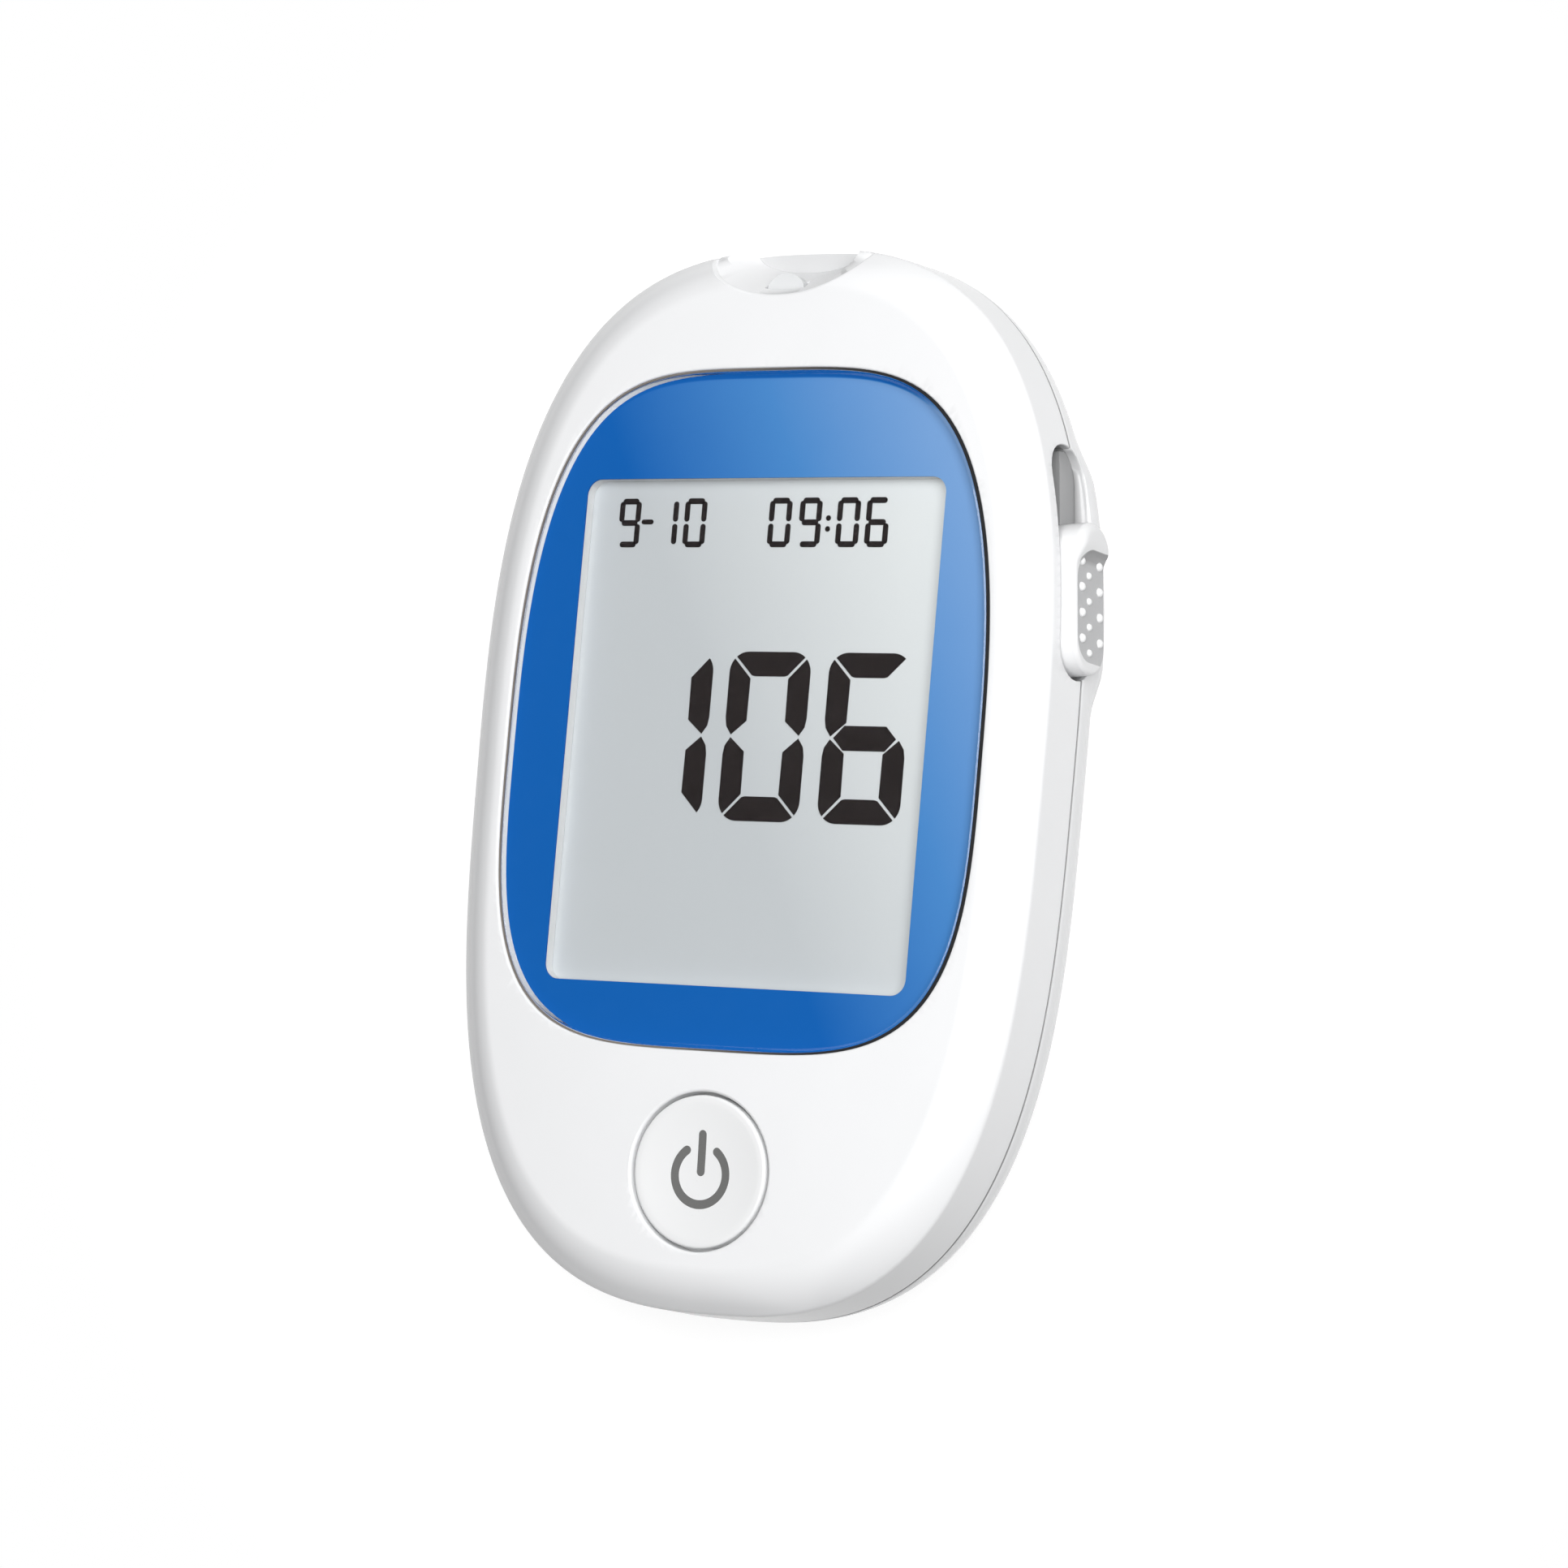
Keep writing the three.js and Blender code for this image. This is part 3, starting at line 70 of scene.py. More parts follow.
SLOT_TILT = math.radians(5.4)
SLOT_ORIGIN = np.array([29.75, 20.5, 12.9])
SLOT_ALONG = np.array([-math.sin(SLOT_TILT), math.cos(SLOT_TILT), 0.0])
SLOT_OUT = np.array([math.cos(SLOT_TILT), math.sin(SLOT_TILT), 0.0])
SLOT_UP = np.array([0.0, 0.0, 1.0])
SLOT_LENGTH = 21.6
SLOT_RUN = (-10.55, 11.3)
SLOT_HEIGHT = 6.6
SHELF_OUT = (-2.7, -1.9)
SWELL = 1.1
SWELL_START = 2.2
SWELL_DEPTH = 9.5
SWELL_BLEND = 5.0
SWELL_POWER = 1.2

BUTTON_Y = -36.8
BUTTON_HOLE = 7.3
SCREWS = ((21.0, -28.0), (19.0, 35.3))
DOOR_PLATE = (14.2, 12.0, 1.6)
DOOR_END = (16.6, -34.0, 0.8)

# cutters and blocks reach this far past the case
CLEAR = 24.0
UNDER = -2.0
PAST_END = -52.0


# ---------------------------------------------------------------- outline and skins
def outline(shape, angles, inset=0.0):
    """Points of an egg-shaped outline at the given angles, drawn in by inset."""
    c, s = np.cos(angles), np.sin(angles)
    upper = s > 0
    power = np.where(upper, shape["power_top"], shape["power_bottom"])
    reach = np.where(upper, shape["top"], shape["bottom"]) - inset
    y = reach * np.sign(s) * np.abs(s) ** (2 / power)
    taper = 1 + shape["wider_top"] * y / 50
    x = (shape["half_width"] - inset) * np.sign(c) * np.abs(c) ** (2 / shape["across"]) * taper
    return np.stack([x, y + shape["centre_y"]], 1)


def even_angles(shape, count):
    """Angles whose points are the same distance apart along the outline."""
    angles = np.linspace(0, 2 * np.pi, 24001)
    points = outline(shape, angles)
    length = np.concatenate([[0], np.cumsum(np.linalg.norm(np.diff(points, axis=0), axis=1))])
    return np.interp(np.arange(count) / count * length[-1], length, angles)


def at_height(points, z):
    return np.column_stack([points, np.broadcast_to(z, len(points))])


def case_ring(inset, z):
    return at_height(outline(CASE, CASE_ANGLES, inset), z)


def shared(value, start, end):
    """How far a value has come from start to end, held between 0 and 1."""
    return np.clip((value - start) / (end - start), 0, 1)


def case_inset(points):
    """How far inside the case's outline each point lies, by the outline's own rings."""
    x, y = np.abs(points[:, 0]), points[:, 1]
    low, high = np.full(len(points), -3.0), np.full(len(points), CASE["half_width"] - 0.01)
    power = np.where(y > 0, CASE["power_top"], CASE["power_bottom"])
    taper = 1 + CASE["wider_top"] * y / 50
    for _ in range(40):
        middle = (low + high) / 2
        share = (x / ((CASE["half_width"] - middle) * taper)) ** CASE["across"]
        share += (np.abs(y) / np.maximum(CASE["top"] - middle, 0.01)) ** power
        inside = share < 1
        low, high = np.where(inside, middle, low), np.where(inside, high, middle)
    return (low + high) / 2


def crown_height(inset):
    share = shared(inset, DRAFT + SHOULDER_INSET, CROWN_REACH)
    return FACE_EDGE + CROWN_RISE * share * (2 - share)


def face_height(points):
    """Height of the front skin over any point of the face."""
    inset = case_inset(points)
    up = np.interp(shared(inset, DRAFT, DRAFT + SHOULDER_INSET), *SHOULDER.T)
    return crown_height(inset) - SHOULDER_RISE * (1 - up)


def shoulder_line():
    """The shoulder's section as shares of its inset and rise: tight bends at wall and face, a slow arc between."""
    bends = [np.linspace(90, 48, 7), np.linspace(48, 16, 14)[1:], np.linspace(16, 0, 7)[1:]]
    slopes = np.radians(np.concatenate(bends))
    steps = np.repeat([0.08, 0.3, 0.14], [6, 13, 6])
    middle = (slopes[1:] + slopes[:-1]) / 2
    line = np.cumsum(np.column_stack([steps * np.cos(middle), steps * np.sin(middle)]), axis=0)
    return np.vstack([[0.0, 0.0], line / line[-1]])


CASE_ANGLES = even_angles(CASE, 288)
LENS_ANGLES = even_angles(LENS, 240)
SHOULDER = shoulder_line()


def smooth(share):
    share = np.clip(share, 0, 1)
    return share * share * (3 - 2 * share)


def swell(y, z):
    """How far the rear skin stands out at the slot's side of the case."""
    near = smooth((SLOT_LENGTH / 2 + SWELL_BLEND / 2 - np.abs(y - SLOT_ORIGIN[1])) / SWELL_BLEND)
    return SWELL * near * np.sin(np.pi * shared(SEAM - z, SWELL_START, SWELL_DEPTH)) ** SWELL_POWER


def seam_edge(depth, rim, side):
    """Rings of the small round along the seam, upwards (side 1) or downwards (side -1)."""
    return [case_ring(depth + SEAM_ROUND * (1 - math.sin(a)), rim + side * SEAM_ROUND * (1 - math.cos(a)))
            for a in np.linspace(0, np.pi / 2, 5)[:-1]]


def front_rings(depth, foot, rounded=False):
    """Rings of the front skin, or of a layer inside it, from the seam to the crown."""
    rings = seam_edge(depth, foot, 1) if rounded else []
    start = foot + SEAM_ROUND if rounded else foot
    rings += [case_ring(depth + DRAFT * share, start + (WALL_TOP - start) * share) for share in np.linspace(0, 1, 6)]
    edge = depth + DRAFT
    rings += [case_ring(edge + SHOULDER_INSET * across, WALL_TOP + (SHOULDER_RISE - depth) * up)
              for across, up in SHOULDER[1:]]
    edge += SHOULDER_INSET
    rings += [case_ring(inset, crown_height(inset - depth) - depth)
              for inset in edge + (CROWN_REACH - edge) * np.linspace(0, 1, 17)[1:] ** 1.15]
    return rings


def rear_rings(depth, rim, rounded=False):
    """Rings of the rear skin, or of a layer inside it, from its flat rest to the seam."""
    rings = seam_edge(depth, rim, -1) if rounded else []
    rings.append(case_ring(depth, rim - SEAM_ROUND if rounded else rim))
    for a in np.linspace(0, np.pi / 2, 29)[1:]:
        z = SEAM - (SEAM - depth) * math.sin(a)
        if z <= rim - SEAM_ROUND - 0.1:
            rings.append(case_ring(depth + REAR_INSET * (1 - math.cos(a)), z))
    for ring in rings:
        ring[:, 0] += np.where(ring[:, 0] > 0, swell(ring[:, 1], ring[:, 2]), 0)
    return rings[::-1]


# ---------------------------------------------------------------- mesh making
def placed(name, data):
    """A new object in the scene."""
    made = bpy.data.objects.new(name, data)
    bpy.context.scene.collection.objects.link(made)
    return made


def loft_faces(rows, size):
    """Quads between rings of points, each with the ring before it."""
    return [(i * size + j, i * size + (j + 1) % size, (i + 1) * size + (j + 1) % size, (i + 1) * size + j)
            for i in range(rows - 1) for j in range(size)]


def piece_from(name, points, faces):
    """A closed mesh object in metres from points in mm, with outward normals."""
    mesh = bpy.data.meshes.new(name)
    mesh.from_pydata((np.asarray(points) * MM).tolist(), [], faces)
    work = bmesh.new()
    work.from_mesh(mesh)
    bmesh.ops.recalc_face_normals(work, faces=work.faces)
    work.to_mesh(mesh)
    work.free()
    mesh.update()
    return placed(name, mesh)


def smooth_by_angle(mesh, degrees):
    mesh.polygons.foreach_set("use_smooth", [True] * len(mesh.polygons))
    mesh.set_sharp_from_angle(angle=math.radians(degrees))


def loft(name, rings):
    """Closed body through rings of the same number of points, flat at both ends."""
    size = len(rings[0])
    last = (len(rings) - 1) * size
    ends = [tuple(range(size)), tuple(range(last, last + size))]
    return piece_from(name, np.concatenate(rings), loft_faces(len(rings), size) + ends)


def prism(name, ring, low, high):
    """Upright body over an outline."""
    return loft(name, [at_height(ring, z) for z in (low, high)])


def block(name, low, high):
    (x0, y0, z0), (x1, y1, z1) = low, high
    return prism(name, [(x0, y0), (x1, y0), (x1, y1), (x0, y1)], z0, z1)


def settle(piece):
    """Applies a piece's modifiers to its mesh."""
    graph = bpy.context.evaluated_depsgraph_get()
    mesh = bpy.data.meshes.new_from_object(piece.evaluated_get(graph))
    old = piece.data
    piece.modifiers.clear()
    piece.data = mesh
    bpy.data.meshes.remove(old)
    return piece


def carve(piece, tools, operation="DIFFERENCE"):
    """Cuts, joins or crosses a piece with other bodies, which are used up."""
    for tool in tools:
        change = piece.modifiers.new("carve", "BOOLEAN")
        change.operation, change.solver, change.object = operation, "MANIFOLD", tool
        settle(piece)
        bpy.data.objects.remove(tool)
    return piece


def finish_normals(piece, degrees=32):
    """Smooth shading with crisp edges, weighted to the larger faces."""
    smooth_by_angle(piece.data, degrees)
    weighted = piece.modifiers.new("weighted", "WEIGHTED_NORMAL")
    weighted.keep_sharp, weighted.weight = True, 60
    return settle(piece)


def outward(points):
    """Unit normals that point out of a closed, counter-clockwise outline."""
    ahead = np.roll(points, -1, axis=0) - np.roll(points, 1, axis=0)
    normal = np.column_stack([ahead[:, 1], -ahead[:, 0]])
    return normal / np.linalg.norm(normal, axis=1)[:, None]


def hole_rings(points, bottom, surface, top, radius):
    """Rings of a hole whose mouth is rounded over into the surface above it."""
    normals = outward(points)
    rings = [at_height(points, bottom)]
    for a in np.radians((0, 20, 40, 60, 80)):
        wider = points + normals * radius * (1 - math.cos(a))
        rings.append(at_height(wider, surface - radius + radius * math.sin(a)))
    return rings + [at_height(wider, top)]


def circle(radius, centre, count):
    a = np.arange(count) / count * 2 * np.pi
    return np.column_stack([centre[0] + radius * np.cos(a), centre[1] + radius * np.sin(a)])


def rounded_rectangle(width, length, corner, centre_y, steps=10):
    points = []
    for cx, cy, start in ((1, 1, 0), (-1, 1, 90), (-1, -1, 180), (1, -1, 270)):
        for a in np.radians(np.linspace(start, start + 90, steps)):
            points.append((cx * (width / 2 - corner) + corner * math.cos(a),
                           centre_y + cy * (length / 2 - corner) + corner * math.sin(a)))
    return np.array(points)


def window_outline(margin=0.0, corner=1.5):
    return rounded_rectangle(WINDOW_SIZE[0] + 2 * margin, WINDOW_SIZE[1] + 2 * margin, corner, WINDOW_Y)


def slot_frame(points, out=None):
    """Turns (along, up, out) of the slot into the part's x, y, z; out may be given apart."""
    points = np.asarray(points, float) if out is None else at_height(points, out)
    return SLOT_ORIGIN + points @ np.array([SLOT_ALONG, SLOT_UP, SLOT_OUT])


def stadium(length, height, centre, steps=14, straight=0):
    """Outline of a slot with round ends, with extra points on its straight sides if asked."""
    radius = height / 2
    points = []
    for end in (1, -1):
        for i in range(steps + 1):
            a = (i / steps - end / 2) * math.pi
            points.append((centre + end * (length / 2 - radius) + radius * math.cos(a), radius * math.sin(a)))
        for share in np.linspace(1, -1, straight + 2)[1:-1]:
            points.append((centre + end * share * (length / 2 - radius), end * radius))
    return np.array(points)


def side_surface(points):
    """How far out of the slot's plane the case's skin lies, over points given along and up."""
    low, high = np.full(len(points), -9.0), np.full(len(points), 4.0)
    for _ in range(36):
        middle = (low + high) / 2
        x, y, z = slot_frame(points, middle).T
        bend = np.interp(shared(z, WALL_TOP, WALL_TOP + SHOULDER_RISE), SHOULDER[:, 1], SHOULDER[:, 0])
        front = DRAFT * shared(z, SEAM, WALL_TOP) + SHOULDER_INSET * bend
        rear = REAR_INSET * (1 - np.sqrt(1 - shared(z, SEAM, 0) ** 2))
        inside = case_inset(np.column_stack([x - swell(y, z), y])) > np.where(z > SEAM, front, rear)
        low, high = np.where(inside, middle, low), np.where(inside, high, middle)
    return (low + high) / 2


# ---------------------------------------------------------------- node trees
def sum_of(operation, swapped=False):
    """A method of Value that adds one Math node of two values."""
    def made(self, other):
        return self.math(operation, other, self) if swapped else self.math(operation, self, other)
    return made


class Value:
    """A socket that takes part in sums; each sum adds a Math node."""

    def __init__(self, tree, socket):
        self.tree, self.socket = tree, socket

    def math(self, operation, first, second=None):
        node = self.tree.nodes.new("ShaderNodeMath")
        node.operation = operation
        for slot, value in zip(node.inputs, (first, second)):
            if isinstance(value, Value):
                self.tree.links.new(value.socket, slot)
            elif value is not None:
                slot.default_value = value
        return Value(self.tree, node.outputs[0])

    __add__, __radd__ = sum_of("ADD"), sum_of("ADD", True)
    __sub__, __rsub__ = sum_of("SUBTRACT"), sum_of("SUBTRACT", True)
    __mul__, __rmul__ = sum_of("MULTIPLY"), sum_of("MULTIPLY", True)
    __truediv__, __pow__ = sum_of("DIVIDE"), sum_of("POWER")
    at_most, at_least = sum_of("MINIMUM"), sum_of("MAXIMUM")

    def size(self):
        return self.math("ABSOLUTE", self)

    def wave(self):
        return self.math("SINE", self)


class Finish:
    """A node tree for one finish, of a new material or of the owner that is given."""

    def __init__(self, name, owner=None):
        self.owner = owner or bpy.data.materials.new(name)
        self.owner.use_nodes = True
        self.tree = self.owner.node_tree
        self.tree.nodes.clear()
        self.place = None if owner else self.add("ShaderNodeTexCoord", output="Object")

    def add(self, kind, settings=None, inputs=None, output=0):
        node = self.tree.nodes.new(kind)
        for key, value in (settings or {}).items():
            if key == "stops":
                ramp = node.color_ramp
                for index, (place, colour) in enumerate(value):
                    stop = ramp.elements[index] if index < 2 else ramp.elements.new(place)
                    stop.position, stop.color = place, colour
            else:
                setattr(node, key, value)
        for key, value in (inputs or {}).items():
            if isinstance(value, Value):
                self.tree.links.new(value.socket, node.inputs[key])
            else:
                node.inputs[key].default_value = value
        return Value(self.tree, node.outputs[output]) if node.outputs else None

    def axes(self):
        """The object's own x, y and z, in millimetres."""
        parts = [self.add("ShaderNodeSeparateXYZ", inputs={"Vector": self.place}, output=i) for i in range(3)]
        return [part * 1000.0 for part in parts]

    def slot_axes(self):
        """Place along, up and out of the slide slot, in millimetres."""
        x, y, z = self.axes()
        x, y, z = x - SLOT_ORIGIN[0], y - SLOT_ORIGIN[1], z - SLOT_ORIGIN[2]
        return y * SLOT_ALONG[1] + x * SLOT_ALONG[0], z, x * SLOT_OUT[0] + y * SLOT_OUT[1]

    def noise(self, per_metre, detail=2.0, roughness=0.5):
        return self.add("ShaderNodeTexNoise", inputs={
            "Vector": self.place, "Scale": per_metre, "Detail": detail, "Roughness": roughness})

    def step(self, value, low, high):
        """0 below low, 1 above high, smooth between them."""
        return self.add("ShaderNodeMapRange", {"interpolation_type": "SMOOTHSTEP"}, {
            "Value": value, "From Min": low, "From Max": high})

    def between(self, factor, first, second):
        """Colour that goes from first to second as factor goes from 0 to 1."""
        return self.add("ShaderNodeMix", {"data_type": "RGBA"}, {0: factor, 6: first, 7: second}, output=2)

    def bump(self, strength, distance, height):
        return self.add("ShaderNodeBump", inputs={"Strength": strength, "Distance": distance, "Height": height})

    def glow(self, strength):
        return self.add("ShaderNodeEmission", inputs={"Color": (1, 1, 1, 1), "Strength": strength})

    def mixed(self, share, first, second):
        return self.add("ShaderNodeMixShader", inputs={0: share, 1: first, 2: second})

    def coat(self, **sockets):
        """Ends the tree in a Principled surface, its sockets given by name."""
        names = {key.replace("_", " ").title().replace("Ior", "IOR"): value for key, value in sockets.items()}
        return self.close(self.add("ShaderNodeBsdfPrincipled", inputs=names))

    def close(self, shader, kind="ShaderNodeOutputMaterial"):
        self.add(kind, inputs={"Surface": shader})
        return self.owner


def srgb(red, green, blue):
    """Linear colour of an 8-bit screen colour."""
    return tuple(v / 12.92 if v <= 0.04045 else ((v + 0.055) / 1.055) ** 2.4
                 for v in (red / 255, green / 255, blue / 255)) + (1.0,)


def grey(value):
    return (value, value, value, 1)


def shaded(colour, factor):
    return tuple(min(channel * factor, 1.0) for channel in colour[:3]) + (1.0,)


def moulded_plastic(name, colour, roughness, grain=4500.0, relief=0.05, mottle=0.012, shade_painter=None):
    """Injection-moulded plastic: faint flow mottling, fine spark grain and an even satin gloss, with painted shade
    laid on its colour where asked.
    """
    finish = Finish(name)
    flow = finish.noise(160.0, 2.0)
    spark = finish.noise(grain, 1.0)
    base = finish.between(flow, shaded(colour, 1 - mottle), shaded(colour, 1 + mottle))
    # painted shade laid over the base colour, for the case's joint line, slide slot and scoop floor
    if shade_painter:
        base = shade_painter(finish, base, colour)
    gloss = roughness + (spark - 0.5) * 0.08 + (flow - 0.5) * 0.05
    return finish.coat(base_color=base, roughness=gloss, normal=finish.bump(relief, 0.00003, spark),
                       specular_ior_level=0.5)


def case_shade(finish, base, colour):
    """Dulls the case where the light does not reach: joint line, slide slot and the scoop's floor."""
    x, y, z = finish.axes()
    joint = 1.0 - finish.step((z - SEAM).size(), 0.1, 0.21)
    along, up, out = finish.slot_axes()
    half = SLOT_HEIGHT / 2
    beyond = ((along - sum(SLOT_RUN) / 2).size() - ((SLOT_RUN[1] - SLOT_RUN[0]) / 2 - half)).at_least(0.0)
    inside = 1.0 - finish.step((beyond * beyond + up * up) ** 0.5, half + 0.02, half + 0.12)
    inside = inside * finish.step(out, -9.1, -9.0)
    walls = inside * (1.0 - finish.step(out, -0.75, -0.45))
    shelf = inside * (1.0 - finish.step(out, -1.88, -1.8))
    floor = (1.0 - finish.step((z - SCOOP_FOOT_Z).size(), 0.03, 0.08)) * finish.step(y, 47.5, 47.8)
    floor = floor * (1.0 - finish.step(x.size(), 6.0, 6.3))
    for share, shade in ((joint, 0.3), (walls, 0.66), (shelf, 0.42), (floor, 0.78)):
        base = finish.between(share, base, shaded(colour, shade))
    return base


def lens_plastic():
    """Clear acrylic that lets the lamps' light through."""
    finish = Finish("clear_acrylic")
    glass = finish.add("ShaderNodeBsdfPrincipled", inputs={
        "Base Color": (0.985, 0.99, 0.99, 1), "Roughness": 0.045 + finish.noise(900.0, 2.0) * 0.02, "IOR": 1.49,
        "Transmission Weight": 1.0})
    clear = finish.add("ShaderNodeBsdfTransparent", inputs={"Color": (0.97, 0.975, 0.975, 1)})
    shadow, soft = [finish.add("ShaderNodeLightPath", output=name) for name in ("Is Shadow Ray", "Is Diffuse Ray")]
    return finish.close(finish.mixed(shadow.at_least(soft), glass, clear))


def painted_reflection(finish):
    """How strong the painted reflection on the print and display is: 0 over its left half and foot, 1 at its upper
    right.
    """
    x, y, _ = finish.axes()
    across = (x.size() / LENS["half_width"]) ** LENS["across"]
    along = ((y - LENS["centre_y"]).size() / LENS["top"]) ** LENS["power_top"]
    inside = 1.0 - finish.step(across + along, 0.945, 0.96)
    return ((x + y * 0.5 + 1.0) / 37.0).at_least(0.0).at_most(1.0) * inside


def print_blue():
    """Screen-printed blue behind the lens, with a painted reflection that makes it paler to the upper right, and the
    unevenness of an ink layer.
    """
    finish = Finish("fascia_blue")
    blotch = finish.noise(300.0, 3.0)
    dots = finish.noise(6000.0, 1.0)
    reflected_blue = finish.add("ShaderNodeValToRGB", {"stops": ((0.0, BLUE), (0.5, BLUE_HALF_REFLECTED), (1.0, BLUE_REFLECTED))}, {
        "Fac": painted_reflection(finish) + (blotch - 0.5) * 0.03})
    return finish.coat(base_color=reflected_blue, roughness=0.42 + dots * 0.08, specular_ior_level=0.03)


def display_ground():
    """Reflective face of the display: grey-green, with painted shade that darkens it towards its rim and a painted
    reflection that pales it to the upper right.
    """
    finish = Finish("display_ground")
    x, y, _ = finish.axes()
    edge_x, edge_y = [finish.step(place.size(), size / 2 - 4.5, size / 2 + 1.5)
                      for place, size in zip((x, y - WINDOW_Y), WINDOW_SIZE)]
    pearl = finish.noise(2500.0, 2.0)
    ground = finish.between(pearl, shaded(DISPLAY_GREY, 0.997), shaded(DISPLAY_GREY, 1.003))
    ground = finish.between(painted_reflection(finish), ground, DISPLAY_REFLECTED)
    # painted shade towards the window's rim
    base = finish.between(edge_x.at_least(edge_y) * 0.1, ground, shaded(DISPLAY_GREY, 0.8))
    return finish.coat(base_color=base, roughness=0.3 + pearl * 0.03, specular_ior_level=0.3)


def flat_ink(name, colour, roughness=0.45):
    finish = Finish(name)
    speck = finish.noise(5000.0, 1.0)
    base = finish.between(speck, shaded(colour, 0.93), shaded(colour, 1.07))
    return finish.coat(base_color=base, roughness=roughness + speck * 0.06, specular_ior_level=0.25)


def painted_shade_bead(left, right):
    """Soft bead round the lens, coloured with painted shade: grey-brown at its left side, near black at its right."""
    finish = Finish("lens_gap_shade")
    speck = finish.noise(5000.0, 1.0)
    x, _, _ = finish.axes()
    base = finish.between(finish.step(x, -10.0, 14.0), left, right)
    return finish.coat(base_color=base, roughness=0.5 + speck * 0.06, specular_ior_level=0.15)


def brushed_metal(name, colour, roughness):
    """Rolled metal with fine drawn lines along one axis."""
    finish = Finish(name)
    drawn = finish.add("ShaderNodeMapping", inputs={"Vector": finish.place, "Scale": (60.0, 900.0, 900.0)})
    lines = finish.add("ShaderNodeTexNoise", inputs={"Vector": drawn, "Scale": 4.0, "Detail": 4.0})
    base = finish.between(lines, shaded(colour, 0.86), shaded(colour, 1.08))
    return finish.coat(base_color=base, metallic=1.0, roughness=roughness + (lines - 0.5) * 0.12,
                       normal=finish.bump(0.08, 0.00002, lines))


def board_laminate():
    """Green circuit board: solder mask over a faint woven core, with tracks."""
    finish = Finish("board_laminate")
    x, y, _ = finish.axes()
    weave = (x * 9.0).wave() * (y * 9.0).wave() * 0.5 + 0.5
    tracks = finish.add("ShaderNodeTexBrick", {"offset": 0.5}, {
        "Vector": finish.place, "Scale": 420.0, "Mortar Size": 0.012, "Brick Width": 0.9, "Row Height": 0.32},
        output="Fac")
    mask = finish.between(weave, (0.012, 0.10, 0.035, 1), (0.016, 0.13, 0.045, 1))
    base = finish.between(tracks * 0.6, mask, (0.03, 0.2, 0.08, 1))
    return finish.coat(base_color=base, roughness=0.32 + weave * 0.05, normal=finish.bump(0.2, 0.00003, tracks))


def cell_wrap():
    """Printed shrink sleeve of a battery cell: two plain bands, no lettering."""
    finish = Finish("cell_wrap")
    _, y, _ = finish.axes()
    band = finish.step(y, -8.2, -7.9)
    crease = finish.noise(700.0, 3.0)
    base = finish.between(band, (0.016, 0.018, 0.022, 1), (0.42, 0.16, 0.03, 1))
    return finish.coat(base_color=base, roughness=0.24 + crease * 0.1, metallic=0.25,
                       normal=finish.bump(0.15, 0.00005, crease))


def plain_glass(name, tint):
    finish = Finish(name)
    haze = finish.noise(500.0, 2.0)
    return finish.coat(base_color=finish.between(haze, shaded(tint, 0.97), tint), roughness=0.06 + haze * 0.03,
                       specular_ior_level=0.5)


# ---------------------------------------------------------------- pieces
BLUE = srgb(22, 98, 180)
# the print's blue with half and with all of the painted reflection on it
BLUE_HALF_REFLECTED = srgb(76, 138, 204)
BLUE_REFLECTED = srgb(127, 168, 219)
DISPLAY_GREY = srgb(206, 210, 213)
# the display's grey under the full painted reflection
DISPLAY_REFLECTED = srgb(246, 249, 249)
SHELL_WHITE = (0.90, 0.905, 0.915, 1)
WINDOW_Y = 3.9
WINDOW_SIZE = (38.6, 47.4)
SCOOP_TOP = (8.8, 5.4)
SCOOP_FOOT = (5.6, 1.95)
SCOOP_FOOT_Z = 14.6
SCOOP_WALL = 1.5
STRIP_SLOT = (4.2, 13.45)
TONGUE_HOLE = (2.15, 45.82, 1.5, 17.5, 18.9)


def scoop_ring(z, grow, count=160):
    """Outline of the scoop's cone at a height."""
    share = (z - SCOOP_FOOT_Z) / (FACE_EDGE + CROWN_RISE - SCOOP_FOOT_Z)
    across, back = [foot + (top - foot) * share + grow for foot, top in zip(SCOOP_FOOT, SCOOP_TOP)]
    return circle(1.0, (0, 0), count) * (across, back) + (0, CASE["top"])


def scoop_cutter():
    """Cone of the strip scoop, its mouth rounded over into the face."""
    rings = [at_height(scoop_ring(z, 0), z) for z in (SCOOP_FOOT_Z, 16.0, 18.0)]
    radius = 0.35
    base = scoop_ring(FACE_EDGE, 0)
    surface = np.where(base[:, 1] > 49.5, 20.0, face_height(base))
    for a in np.radians((0, 20, 40, 60, 80)):
        ring = scoop_ring(FACE_EDGE, radius * (1 - math.cos(a)))
        rings.append(at_height(ring, surface - radius + radius * math.sin(a)))
    rings.append(at_height(scoop_ring(FACE_EDGE, radius), CLEAR))
    return loft("scoop_cutter", rings)


def scoop_back(outer):
    """Wall behind and under the scoop, inside the skin."""
    back = loft("scoop_back", [at_height(scoop_ring(z, SCOOP_WALL), z) for z in (STRIP_SLOT[1], 20.2)])
    return carve(back, [outer], "INTERSECT")


def tongue_hole():
    """Way through the scoop's wall for the insert's half-moon tongue."""
    half, root, reach, low, high = TONGUE_HOLE
    tip = [(half * math.cos(a), root + reach * math.sin(a)) for a in np.linspace(0, math.pi, 25)]
    return prism("tongue_hole", [(-half, 41.0), (half, 41.0)] + tip, low, high)


def slot_cutter(name):
    """Through cut for the slide slot, its edge rounded over into the curved side."""
    ring = stadium(SLOT_RUN[1] - SLOT_RUN[0], SLOT_HEIGHT, sum(SLOT_RUN) / 2, 14, 30)
    return loft(name, [slot_frame(level) for level in hole_rings(ring, -5.35, side_surface(ring), 6.0, 0.16)])


def slot_prism(name, ring, outs=SHELF_OUT):
    """Body over a ring given along and up the slide slot: its floor, unless other distances out are given."""
    return loft(name, [slot_frame(ring, out) for out in outs])


